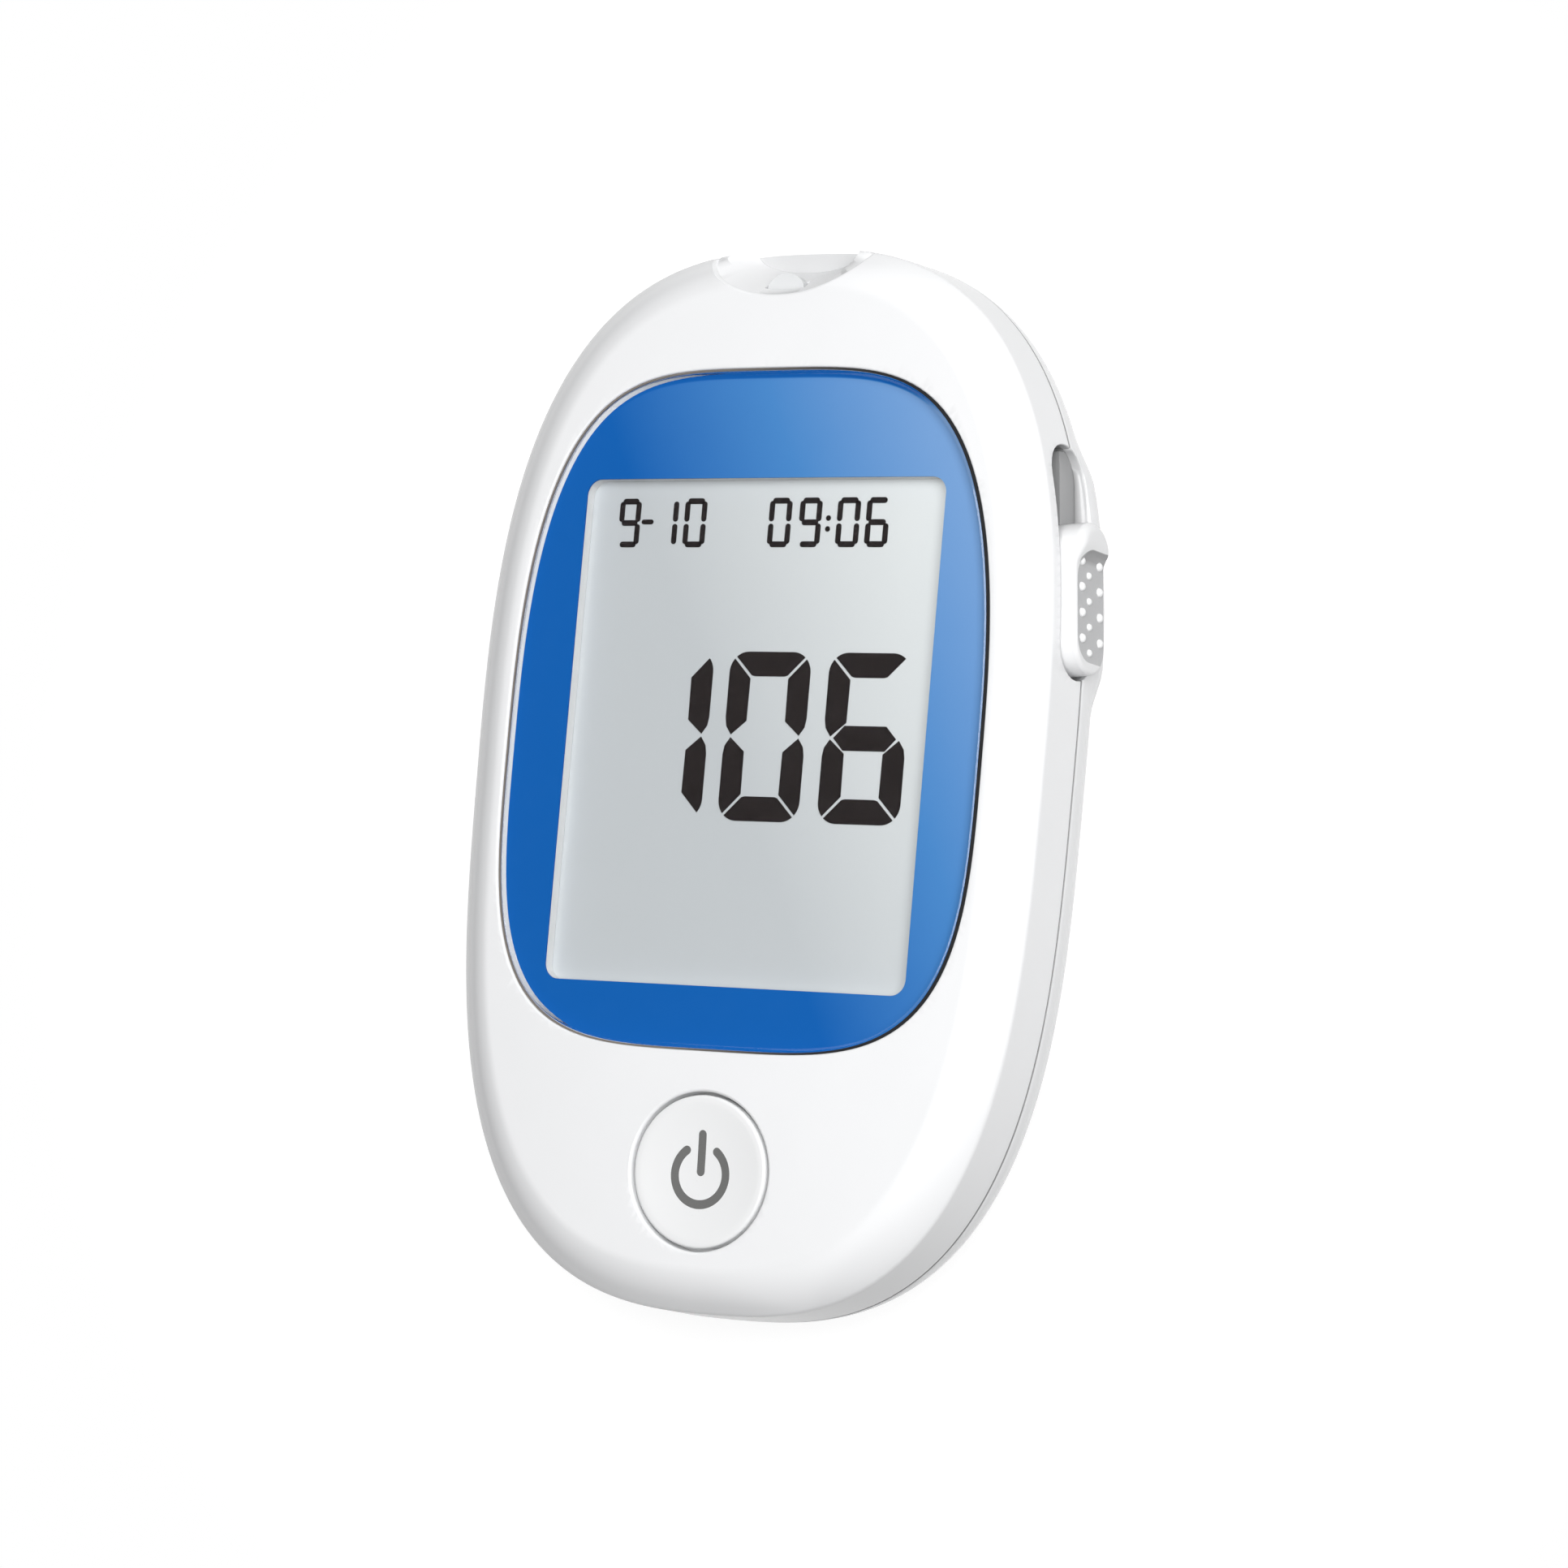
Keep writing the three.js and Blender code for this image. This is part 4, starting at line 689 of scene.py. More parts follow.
def front_skin():
    """Upper half of the case: crowned face, lens pocket, button hole, slot and scoop."""
    foot = SEAM + SEAM_GAP / 2
    cover = loft("front_skin", front_rings(0.0, foot, rounded=True))
    carve(cover, [loft("hollow", front_rings(WALL, foot - 2.0))])
    tray = prism("tray", outline(LENS, even_angles(LENS, 160), -1.8), 17.5, 19.6)
    carve(cover, [tray, scoop_back(loft("within", front_rings(0.3, foot)))], "UNION")
    mouth = outline(LENS, LENS_ANGLES, -0.2)
    pocket = loft("pocket", hole_rings(mouth, 18.5, face_height(mouth), CLEAR, 0.22))
    window = prism("window", window_outline(1.2, 2.1), 15.0, 19.0)
    ring = circle(BUTTON_HOLE, (0, BUTTON_Y), 144)
    button_hole = loft("button_hole", hole_rings(ring, 10.0, face_height(ring), CLEAR, 0.3))
    strip_slot = block("strip_slot", (-STRIP_SLOT[0], 46.4, 10.0), (STRIP_SLOT[0], 52.0, STRIP_SLOT[1] - 0.15))
    carve(cover, [pocket, window, button_hole, slot_cutter("slot_front"), scoop_cutter(), tongue_hole(), strip_slot])
    carve(cover, [slot_prism("upper_shelf", [(-11.4, 1.55), (11.8, 1.55), (11.8, 4.1), (-11.4, 4.1)])], "UNION")
    return finish_normals(cover)


def copy_of(node):
    """A merged copy of a node's mesh, to cut and join with finer work."""
    made = placed(node + "_copy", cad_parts[node].data.copy())
    work = bmesh.new()
    work.from_mesh(made.data)
    bmesh.ops.remove_doubles(work, verts=work.verts, dist=1e-6)
    work.to_mesh(made.data)
    work.free()
    made.data.materials.clear()
    return made


def rear_body(depth, rim, above=None):
    """Solid inside the rear skin at a depth, up to the rim and straight on above it if asked."""
    rings = rear_rings(depth, rim)
    if above is not None:
        rings.append(at_height(rings[-1][:, :2], above))
    return loft("rear_body", rings)


def doorway(side_gap, thickness, end_height):
    """Two blocks that bound the battery door: its plate and its wider, upturned end."""
    blocks = []
    for (half_width, top, corner), height in ((DOOR_PLATE, thickness), (DOOR_END, end_height)):
        half_width, top = half_width + side_gap, top + side_gap
        ring = [(cx * (half_width - corner) + corner * math.cos(a), top - corner + corner * math.sin(a))
                for cx, start in ((1, 0), (-1, 90)) for a in np.radians(np.linspace(start, start + 90, 8))]
        blocks.append(prism("door_block", [(half_width, PAST_END)] + ring + [(-half_width, PAST_END)], UNDER, height))
    return carve(blocks[0], blocks[1:], "UNION")


def rear_skin():
    """Lower half of the case, curved under to its flat rest, with the battery bay inside."""
    rim = SEAM - SEAM_GAP / 2
    shell = loft("rear_skin", rear_rings(0.0, rim, rounded=True))
    carve(shell, [rear_body(WALL, rim + 2.0)])
    carve(shell, [doorway(0.3, 2.1, 9.8)])
    carve(shell, [block("run", (middle - 1.6, PAST_END, 2.1), (middle + 1.6, 9.3, 3.5)) for middle in (-14.7, 14.7)])
    inner = carve(copy_of("rear_cover"), [rear_body(0.9, SEAM, 14.0)], "INTERSECT")
    carve(shell, [inner], "UNION")
    holes = [prism("screw_well", circle(2.55, (side * x, y), 48), UNDER, 7.0) for x, y in SCREWS for side in (-1, 1)]
    holes.append(prism("plate_seat", rounded_rectangle(22.3, 14.3, 0.6, 24.0), UNDER, 0.4))
    carve(shell, holes + [slot_cutter("slot_rear")])
    carve(shell, [slot_prism("lower_shelf", [(-11.4, -4.1), (11.8, -4.1), (11.8, -1.1), (10.9, -1.1), (10.9, -0.35),
                                             (-10.6, -0.35), (-10.6, -1.1), (-11.4, -1.1)])], "UNION")
    return finish_normals(shell)


def door_skin():
    """Battery door: a plate of the rear skin with a turned-up end, side tongues and finger grips."""
    plate = loft("door_skin", rear_rings(0.0, SEAM))
    carve(plate, [rear_body(1.5, SEAM + 2.0)])
    carve(plate, [doorway(0.0, 2.6, 9.5)], "INTERSECT")
    inner = carve(copy_of("battery_door"), [rear_body(0.8, SEAM)], "INTERSECT")
    carve(plate, [inner], "UNION")
    carve(plate, [grip_grooves()])
    return finish_normals(plate)


# ---------------------------------------------------------------- repeated parts
class Layout(Finish):
    """A Geometry Nodes tree with named sizes that ends in real geometry with its material."""

    def __init__(self, name, sizes):
        self.tree = bpy.data.node_groups.new(name, "GeometryNodeTree")
        new_socket = self.tree.interface.new_socket
        for way in ("INPUT", "OUTPUT"):
            new_socket("Geometry", in_out=way, socket_type="NodeSocketGeometry")
        kinds = {float: "NodeSocketFloat", int: "NodeSocketInt"}
        self.sizes = sizes
        self.keys = {key: new_socket(key, in_out="INPUT", socket_type=kinds[type(value)]).identifier
                     for key, value in sizes.items()}
        self.given = self.tree.nodes.new("NodeGroupInput")

    def size_of(self, key):
        return Value(self.tree, next(s for s in self.given.outputs if s.identifier == self.keys[key]))

    def start(self):
        return Value(self.tree, self.given.outputs[0])

    def vector(self, x=0.0, y=0.0, z=0.0):
        return self.add("ShaderNodeCombineXYZ", inputs={0: x, 1: y, 2: z})

    def line(self, count, start, offset, **settings):
        return self.add("GeometryNodeMeshLine", settings, {
            "Count": count, "Start Location": self.vector(*start), "Offset": self.vector(*offset)})

    def repeated(self, points, shape):
        return self.add("GeometryNodeInstanceOnPoints", inputs={"Points": points, "Instance": shape})

    def joined(self, shapes):
        node = self.tree.nodes.new("GeometryNodeJoinGeometry")
        for shape in reversed(shapes):
            self.tree.links.new(shape.socket, node.inputs[0])
        return Value(self.tree, node.outputs[0])

    def made(self, name, shape, material, start=None):
        """Ends the tree, sets its sizes, and turns the result, or the start piece, into a plain mesh object."""
        real = self.add("GeometryNodeRealizeInstances", inputs={0: shape})
        coated = self.add("GeometryNodeSetMaterial", inputs={"Geometry": real, "Material": material})
        out = self.tree.nodes.new("NodeGroupOutput")
        self.tree.links.new(coated.socket, out.inputs[0])
        made = placed(name, start.data if start else bpy.data.meshes.new(name))
        if start:
            bpy.data.objects.remove(start)
        change = made.modifiers.new("layout", "NODES")
        change.node_group = self.tree
        for key, value in self.sizes.items():
            change[self.keys[key]] = value
        return settle(made)


def pad_plastic():
    """Slider plastic: satin on the rim, and between it a darker grey, duller pad with a spark-eroded grain, given
    painted shadow where it slopes up under the cap.
    """
    finish = Finish("slider_white")
    along, up, out = finish.slot_axes()
    flat = (PAD_RUN[1] - PAD_RUN[0]) / 2 - PAD_CORNER
    beyond = ((along - sum(PAD_RUN) / 2).size() - flat).at_least(0.0)
    above = (up - (PAD_TOP - PAD_CORNER)).at_least(0.0)
    within = 1.0 - finish.step((beyond * beyond + above * above) ** 0.5, PAD_CORNER - 0.06, PAD_CORNER + 0.03)
    slope = finish.step(along, -0.2, 0.3)
    low = 1.0 - finish.step(out, PAD_FLOOR + 0.04, PAD_FLOOR + 0.11)
    sunk = within * finish.step(out, 1.1, 1.18) * low.at_least(slope)
    spark = finish.noise(5200.0, 1.0)
    pad = finish.between(spark, (0.52, 0.523, 0.53, 1), (0.56, 0.563, 0.57, 1))
    # painted shadow under the cap, where the pad slopes up into it
    pad = finish.between(slope, pad, (0.4, 0.4, 0.405, 1))
    base = finish.between(sunk, (0.86, 0.863, 0.87, 1), pad)
    gloss = 0.3 + sunk * 0.22 + (spark - 0.5) * 0.08
    return finish.coat(base_color=base, roughness=gloss, normal=finish.bump(0.12, 0.00003, spark))


def ejector_coil():
    """Return spring of the slider, a coil that lies between the arm and its post."""
    turns, steps = 7, 26
    rings = []
    for share in np.linspace(0, 1, turns * steps + 1):
        angle = share * turns * 2 * math.pi
        spoke = math.cos(angle) * SLOT_UP + math.sin(angle) * SLOT_OUT
        centre = COIL_MIDDLE + SLOT_ALONG * (share - 0.5) * (COIL_LENGTH - 2 * COIL_WIRE) + spoke * COIL_RADIUS
        rings.append(centre + circle(COIL_WIRE, (0, 0), 10) @ np.array([spoke, SLOT_ALONG]))
    coil = loft("ejector_coil", rings)
    smooth_by_angle(coil.data, 60)
    return coil


def slider_pips(material):
    """Staggered rows of round pips that stand on the slider's pad."""
    plan = Layout("pip_rows", {"Radius": 0.43 * MM, "Rise": 0.36 * MM, "Pitch": 2.36 * MM, "First": -6.98 * MM,
                               "Upper": 1.5 * MM, "Middle": 0.1 * MM, "Lower": -2.0 * MM, "Rows": 4})
    ball = plan.add("GeometryNodeMeshUVSphere", inputs={"Segments": 20, "Rings": 12, "Radius": plan.size_of("Radius")})
    flat = plan.add("GeometryNodeTransform", inputs={
        "Geometry": ball, "Scale": plan.vector(1.0, 1.0, plan.size_of("Rise") / plan.size_of("Radius"))})
    small = plan.add("GeometryNodeTransform", inputs={"Geometry": flat, "Scale": (0.82, 0.82, 0.82)})
    shapes = []
    for shift, height, shape in ((0.0, "Upper", flat), (0.0, "Lower", flat), (-0.5, "Middle", small)):
        first = plan.size_of("First") + plan.size_of("Pitch") * shift
        line = plan.line(plan.size_of("Rows"), (first, plan.size_of(height)), (plan.size_of("Pitch"),))
        shapes.append(plan.repeated(line, shape))
    pips = plan.made("slider_pips", plan.joined(shapes), material)
    turn = Matrix((SLOT_ALONG, SLOT_UP, SLOT_OUT)).transposed().to_4x4()
    pips.data.transform(Matrix.Translation(Vector((SLOT_ORIGIN + SLOT_OUT * PAD_FLOOR) * MM)) @ turn)
    smooth_by_angle(pips.data, 60)
    return pips


def grip_grooves():
    """Cutter for the row of finger grooves across the battery door."""
    plan = Layout("grip_row", {"Pitch": 2.4 * MM, "First": -23.6 * MM, "Count": 4})
    ring = stadium(14.0, 1.0, 0.0, 8)
    groove = loft("groove", [at_height(ring * s, z) for s, z in
                             ((0.6, 0.42), (0.86, 0.36), (0.97, 0.2), (1.0, 0.0), (1.04, -0.6))])
    line = plan.line(plan.size_of("Count"), (0.0, plan.size_of("First")), (0.0, plan.size_of("Pitch")))
    return plan.made("grip_grooves", plan.repeated(line, plan.start()), None, groove)


def case_screws(material):
    """Four cross-head screws, seated in the rear cover's wells."""
    plan = Layout("screw_places", {name: size * MM for name, size in zip(
        ("Low X", "Low Y", "High X", "High Y"), SCREWS[0] + SCREWS[1])})
    profile = [(0.0, 16.0), (0.35, 15.6), (0.95, 14.6), (1.0, 6.95), (2.05, 6.95), (2.1, 6.85),
               (2.1, 6.1), (1.95, 5.78), (1.55, 5.55), (0.9, 5.45), (0.0, 5.45)]
    screw = loft("screw", [at_height(circle(max(r, 0.02), (0, 0), 40), z) for r, z in profile])
    bar = np.array([(-1.35, -0.26), (1.35, -0.26), (1.35, 0.26), (-1.35, 0.26)])
    for arm in (bar, bar @ np.array([[0, 1], [-1, 0]])):
        carve(screw, [loft("arm", [at_height(arm * 0.55, 6.15), at_height(arm, 5.2)])])
    pairs = []
    for x, y in ((plan.size_of("Low X"), plan.size_of("Low Y")), (plan.size_of("High X"), plan.size_of("High Y"))):
        pairs.append(plan.line(2, (x * -1.0, y), (x, y), mode="END_POINTS"))
    row = plan.repeated(plan.joined(pairs), plan.start())
    return finish_normals(plan.made("case_screws", row, material, screw), 35)


# ---------------------------------------------------------------- lens, print, display
def display_lens():
    """Acrylic lens: follows the crown, a little below it, with a polished round edge."""
    rings = [at_height(outline(LENS, LENS_ANGLES, 0.08), 19.1), at_height(outline(LENS, LENS_ANGLES), 19.18)]
    across, down = 0.72 - 0.36 * smooth((np.cos(LENS_ANGLES) + 0.3) / 1.1), 0.36
    levels = [(across * (1 - math.cos(a)), down * (1 - math.sin(a))) for a in np.radians(np.linspace(0, 90, 8))]
    levels += [(inset, 0.0) for inset in (1.0, 1.5, 2.4, 3.6, 5.0, 7.0, 9.5, 12.5, 16.0, 20.0, 23.5)]
    for inset, drop in levels:
        points = outline(LENS, LENS_ANGLES, inset)
        rings.append(at_height(points, face_height(points) - 0.1 - drop))
    return finish_normals(loft("display_lens_clear", rings), 40)


def lens_joint():
    """Bead in the gap between the lens and its pocket, a little wider on the right; its dark colour stands for the
    shade in the gap.
    """
    outer, inner = [outline(LENS, LENS_ANGLES, inset) for inset in (-0.21, -0.02)]
    inner[:, 0] -= 0.08 * (1 + inner[:, 0] / LENS["half_width"])
    top = face_height(outer) - 0.12 - 0.1 * smooth(0.5 - outer[:, 0] / 30)
    joint = prism("lens_joint", outer, top - 0.14, top)
    return finish_normals(carve(joint, [prism("inner", inner, 18.0, 22.0)]))


def fascia():
    """Film printed on the back of the lens, sunk 0.03 into it so no air shows between, with the window cut out."""
    film = prism("fascia_print", outline(LENS, LENS_ANGLES, 0.32), 18.9, 19.13)
    return finish_normals(carve(film, [prism("window", window_outline(), 18.0, 20.0)]))


def window_frame():
    """White spacer between the display glass and the film; its inner wall frames the window."""
    body = prism("window_frame", window_outline(1.1, 2.0), 17.75, 18.85)
    return finish_normals(carve(body, [prism("inner", window_outline(), 17.0, 19.5)]))


SEGMENTS = {"0": "abcdef", "1": "bc", "6": "afgedc", "9": "abcdfg"}


def mirrored(ring, flip_x, flip_y):
    return [(-x if flip_x else x, -y if flip_y else y) for x, y in ring]


def big_digit(width, height, lit, stroke=2.3, gap=0.26):
    """Outlines of a big digit's lit segments round its middle: mitred, with round outer corners."""
    corner = stroke * 0.85
    right, high = width / 2, height / 2
    turn, cut = math.degrees(gap / 2 / corner), gap * 0.7

    def arc(side, start, end):
        return [(side * (right - corner) + corner * math.cos(a), high - corner + corner * math.sin(a))
                for a in np.radians(np.linspace(start, end, 7))]

    mitre = [(right - stroke - cut * 0.6, high - stroke * 0.96), (right - stroke * 1.12 - cut, high - stroke)]
    top = arc(-1, 135 - turn, 90) + arc(1, 90, 45 + turn) + mitre + mirrored(mitre, True, False)[::-1]
    side = arc(-1, 135 + turn, 180) + [
        (-right, stroke * 0.75), (stroke * 0.06 - right, stroke * 0.4), (stroke * 0.3 - right, gap / 2),
        (stroke * 0.98 - right, stroke * 0.62), (stroke - right, high - stroke - cut * 1.1)]
    tip = right - stroke * 0.36 - cut
    slope = stroke * 0.475
    bar = [(-tip, 0), (slope - tip, stroke / 2), (tip - slope, stroke / 2), (tip, 0), (tip - slope, -stroke / 2),
           (slope - tip, -stroke / 2)]
    shapes = {"a": top, "d": mirrored(top, False, True), "f": side, "b": mirrored(side, True, False),
              "e": mirrored(side, False, True), "c": mirrored(side, True, True), "g": bar}
    return [shapes[key] for key in lit]


def round_stroke(start, end, half):
    """Outline of a straight stroke with round ends."""
    turn = math.atan2(end[1] - start[1], end[0] - start[0])
    return [(centre[0] + half * math.cos(a), centre[1] + half * math.sin(a))
            for centre, first in ((end, turn - math.pi / 2), (start, turn + math.pi / 2))
            for a in np.linspace(first, first + math.pi, 8)]


def small_digit(width, height, lit, stroke=0.55, corner=0.3, gap=0.38):
    """Outlines of a small digit's lit segments round its middle: round-ended strokes that meet at the corners."""
    right, high = (width - stroke) / 2, (height - stroke) / 2
    across, along = right - corner, high - corner
    strokes = {"a": ((-across, high), (across, high)), "d": ((-across, -high), (across, -high)),
               "g": ((-across, 0), (across, 0)), "f": ((-right, along), (-right, gap)),
               "b": ((right, along), (right, gap)), "e": ((-right, -along), (-right, -gap)),
               "c": ((right, -along), (right, -gap))}
    return [round_stroke(*strokes[key], stroke / 2) for key in lit]


def display_numbers():
    """Segments of the display that are switched on: a date, a time and a reading."""
    rings = [round_stroke((-13.5, 23.72), (-12.65, 23.72), 0.23)]
    rings += [circle(0.26, (6.5, y), 16) for y in (23.0, 24.02)]
    big = (("1", -13.0, -4.45), ("0", -2.65, 6.0), ("6", 7.95, 16.5))
    small = (("9", -16.25, -13.9), ("1", -12.1, -9.75), ("0", -9.05, -6.65), ("0", 0.15, 2.55), ("9", 3.4, 5.75),
             ("0", 7.4, 9.8), ("6", 10.45, 12.85))
    for draw, figures, low, high in ((big_digit, big, -4.3, 11.5), (small_digit, small, 21.3, 25.95)):
        for figure, left, right in figures:
            middle = ((left + right) / 2, (low + high) / 2)
            rings += [np.add(ring, middle) for ring in draw(right - left, high - low, SEGMENTS[figure])]
    points, faces = [], []
    for ring in rings:
        size, first = len(ring), len(points)
        points += [(x, y, z) for z in (17.73, 17.77) for x, y in ring]
        sides = loft_faces(2, size) + [tuple(range(size)), tuple(range(size, 2 * size))]
        faces += [tuple(first + i for i in face) for face in sides]
    return piece_from("display_numbers", points, faces)


# ---------------------------------------------------------------- button
BUTTON_TOP = 20.5
DISH_RADIUS, DISH_DEPTH = 6.3, 0.35
FACE_Y = np.linspace(-44, -29, 31)
FACE_Z = face_height(np.column_stack([np.zeros(31), FACE_Y]))
MARK_Y = -37.1
MARK_RADIUS = 2.7
MARK_STROKE = 0.82
MARK_BAR = (0.3, 3.7)
CAP_STEPS = 7


def lifted(y):
    """How far the button's top follows the crown of the face at a place."""
    return float(np.interp(y, FACE_Y, FACE_Z)) - 20.6


def dished(radius):
    return BUTTON_TOP - DISH_DEPTH * (1 - min(radius / DISH_RADIUS, 1) ** 2)


def power_button():
    """Round button with a shallow dish, a turned rim and the retaining flange below."""
    profile = [(0.05, 17.6), (7.6, 17.6), (8.2, 17.62), (8.2, 18.38), (7.1, 18.4), (7.0, 18.45), (7.0, 20.2)]
    profile += [(6.72 + 0.28 * math.cos(a), 20.22 + 0.28 * math.sin(a)) for a in np.radians((22.5, 45, 67.5, 90))]
    profile += [(r, dished(r)) for r in (6.55, 6.42, 6.3, 6.1, 5.7, 5.2, 4.6, 3.9, 3.1, 2.2, 1.2, 0.4)]
    button = loft("power_button_cap", [at_height(circle(r, (0, BUTTON_Y), 144), z) for r, z in profile])
    for vertex in button.data.vertices:
        if vertex.co.z > 19.0 * MM:
            vertex.co.z += lifted(vertex.co.y / MM) * MM
    return finish_normals(button, 40)


def stroke_ring(path):
    """Outline of a stroke along a path: its left side, a round end, its right side back, and a round end."""
    ahead = np.gradient(path, axis=0)
    ahead /= np.linalg.norm(ahead, axis=1)[:, None]
    side = np.column_stack([-ahead[:, 1], ahead[:, 0]]) * MARK_STROKE / 2

    def cap(end, across):
        base = math.atan2(across[1], across[0]) - np.linspace(0, math.pi, CAP_STEPS + 2)[1:-1]
        return end + MARK_STROKE / 2 * np.column_stack([np.cos(base), np.sin(base)])

    return np.vstack([path + side, cap(path[-1], side[-1]), (path - side)[::-1], cap(path[0], -side[0])])


def power_mark():
    """Printed standby mark: an open ring with an upright bar."""
    opening = math.radians(36)
    angles = np.linspace(math.pi / 2 + opening, math.pi * 2.5 - opening, 72)
    arc = np.column_stack([MARK_RADIUS * np.cos(angles), MARK_Y + MARK_RADIUS * np.sin(angles)])
    bar = np.column_stack([np.zeros(14), MARK_Y + np.linspace(*MARK_BAR, 14)])
    points, faces, turn = [], [], CAP_STEPS + 1
    for path in (arc, bar):
        ring = stroke_ring(path)
        count, size, first = len(path), len(ring), len(points)
        height = [dished(math.hypot(x, y - BUTTON_Y)) + lifted(y) for x, y in ring]
        for print_depth in (-0.02, 0.012):
            points += [(x, y, z + print_depth) for (x, y), z in zip(ring, height)]
        plan = loft_faces(2, size)
        for level in (0, size):
            back = level + size - turn
            plan += [(level + i, level + i + 1, back - 1 - i, back - i) for i in range(count - 1)]
            plan.append(tuple(level + i for i in range(count - 1, count + turn)))
            plan.append(tuple(level + i for i in range(size - turn, size)) + (level,))
        faces += [tuple(first + i for i in face) for face in plan]
    return piece_from("power_mark", points, faces)


# ---------------------------------------------------------------- slider
COIL_MIDDLE = np.array([19.42, 25.785, 12.05])
COIL_LENGTH, COIL_RADIUS, COIL_WIRE = 10.4, 1.25, 0.2
SLIDER_ENDS = (-10.15, 3.85)
SLIDER_HEIGHT = 6.0
NECK_CENTRE = -3.15
RIM_OUT, CAP_OUT = 1.35, 2.12
RIM_EDGE, CAP_EDGE = 0.4, 0.9
CAP_START, CAP_RAMP = -0.6, 2.4
PAD_FLOOR = 1.2
PAD_RUN = (-9.1, 1.2)
PAD_TOP = 2.6
PAD_CORNER = 2.2


def pad_ring(short, inset, out):
    """Outline of the pad at a height: it stops short of its end where it slopes up into the cap."""
    ring = [(PAD_RUN[1] - short, -5.0)]
    corner = PAD_CORNER - inset
    for side, end, start in ((-1, PAD_RUN[1] - short, 0), (1, PAD_RUN[0] + inset, 90)):
        for a in np.radians(np.linspace(start, start + 90, 14)):
            ring.append((end + side * corner + corner * math.cos(a), PAD_TOP - inset - corner + corner * math.sin(a)))
    return slot_frame(ring + [(PAD_RUN[0] + inset, -5.0)], out)


def eject_slider():
    """Thumb slider: a rounded bar that rises to a cap at its upper end, with a pad sunk into it."""
    base = stadium(SLIDER_ENDS[1] - SLIDER_ENDS[0], SLIDER_HEIGHT, sum(SLIDER_ENDS) / 2, 20, 30)
    normals = outward(base)

    def risen(rim, cap, points):
        return rim + (cap - rim) * smooth((points[:, 0] - CAP_START) / CAP_RAMP)

    def ring(inset, out):
        return slot_frame(base - normals * np.reshape(inset, (-1, 1)), out)

    crest, edge = risen(RIM_OUT, CAP_OUT, base), risen(RIM_EDGE, CAP_EDGE, base)
    rings = [ring(0.15, -1.75), ring(0.0, -1.6)]
    rings += [ring(edge * (1 - math.cos(a)), crest - edge * (1 - math.sin(a)))
              for a in np.radians(np.linspace(0, 90, 9))]
    rings += [ring(inset, risen(RIM_OUT, CAP_OUT, base - normals * inset)) for inset in (1.4, 1.9, 2.4, 2.8)]
    knob = loft("eject_slider_knob", rings)
    carve(knob, [loft("pad_cutter", [pad_ring(*level) for level in (
        (0.95, 0.1, PAD_FLOOR), (0.87, 0.03, PAD_FLOOR + 0.03), (0.75, 0.0, PAD_FLOOR + 0.1),
        (0.4, 0.0, 1.5), (0.15, 0.0, 1.8), (0.0, 0.0, CAP_OUT), (0.0, 0.0, CAP_OUT + 0.6))])])
    neck = slot_prism("neck", stadium(9.0, 1.5, NECK_CENTRE, 8) + (0, 0.6), (-4.0, -1.5))
    plate = slot_prism("retainer", [(-10.8, -4.0), (4.5, -4.0), (4.5, 4.0), (-10.8, 4.0)], (-4.65, -3.65))
    carve(knob, [neck, plate], "UNION")
    return finish_normals(knob, 35)


# ---------------------------------------------------------------- stage, lights, camera
AMBIENT = 0.2
FLOOR_PAPER = 0.3
FLOOR_GLOW = 0.84
FLOOR_REACH = 6.0
AIM = Vector((0.0, 0.0, 0.01))
CAMERA_PLACE = (0.230513, -0.044864, 0.401985)
CAMERA_AXES = ((0.862426, 0.084991, -0.498996), (-0.023673, 0.991497, 0.127960), (0.505629, -0.098543, 0.857105))


def seen_rays(finish):
    """1 for rays that show the background: from the camera, in a reflection or through glass."""
    camera_ray, glossy, through, bounced = [finish.add("ShaderNodeLightPath", output=name) for name in (
        "Is Camera Ray", "Is Glossy Ray", "Is Transmission Ray", "Diffuse Depth")]
    return camera_ray.at_least(glossy).at_least(through) * (1.0 - bounced.at_most(1.0))


def card(name, corners, material):
    """A flat sheet of the studio, in metres."""
    mesh = bpy.data.meshes.new(name)
    mesh.from_pydata(corners, [], [(0, 1, 2, 3)])
    mesh.materials.append(material)
    sheet = placed(name, mesh)
    return sheet


def studio_floor():
    """Pale floor that looks white where it is seen, takes the object's shadow, and is clear from below."""
    finish = Finish("studio_floor")
    x, y, _ = finish.axes()
    away = finish.step((x * x + y * y) ** 0.5, 68.0, 100.0)
    paper = finish.add("ShaderNodeBsdfDiffuse", inputs={"Color": grey(FLOOR_PAPER)})
    near = finish.add("ShaderNodeAddShader", inputs={0: paper, 1: finish.glow(FLOOR_GLOW)})
    shown = finish.mixed(away, near, finish.glow(1.0))
    # painted shade: the floor that light bounces from is greyer to the left, to darken the object's left side
    lit_side = finish.between(finish.step(x, -90.0, 10.0), grey(0.3), grey(0.5))
    plain = finish.add("ShaderNodeBsdfDiffuse", inputs={"Color": lit_side})
    under = finish.add("ShaderNodeNewGeometry", output="Backfacing")
    clear = finish.add("ShaderNodeBsdfTransparent", inputs={"Color": grey(1.0)})
    top_side = finish.mixed(seen_rays(finish), plain, shown)
    card("floor", [(x * FLOOR_REACH, y * FLOOR_REACH, 0) for x, y in ((-1, -1), (1, -1), (1, 1), (-1, 1))],
         finish.close(finish.mixed(under, top_side, clear)))


def studio_world():
    """White where it is seen, and a dim even light for everything else."""
    air = Finish("studio", bpy.data.worlds.new("studio"))
    strength = seen_rays(air) * (1.0 - AMBIENT) + AMBIENT
    back = air.add("ShaderNodeBackground", inputs={"Color": grey(1.0), "Strength": strength})
    bpy.context.scene.world = air.close(back, "ShaderNodeOutputWorld")


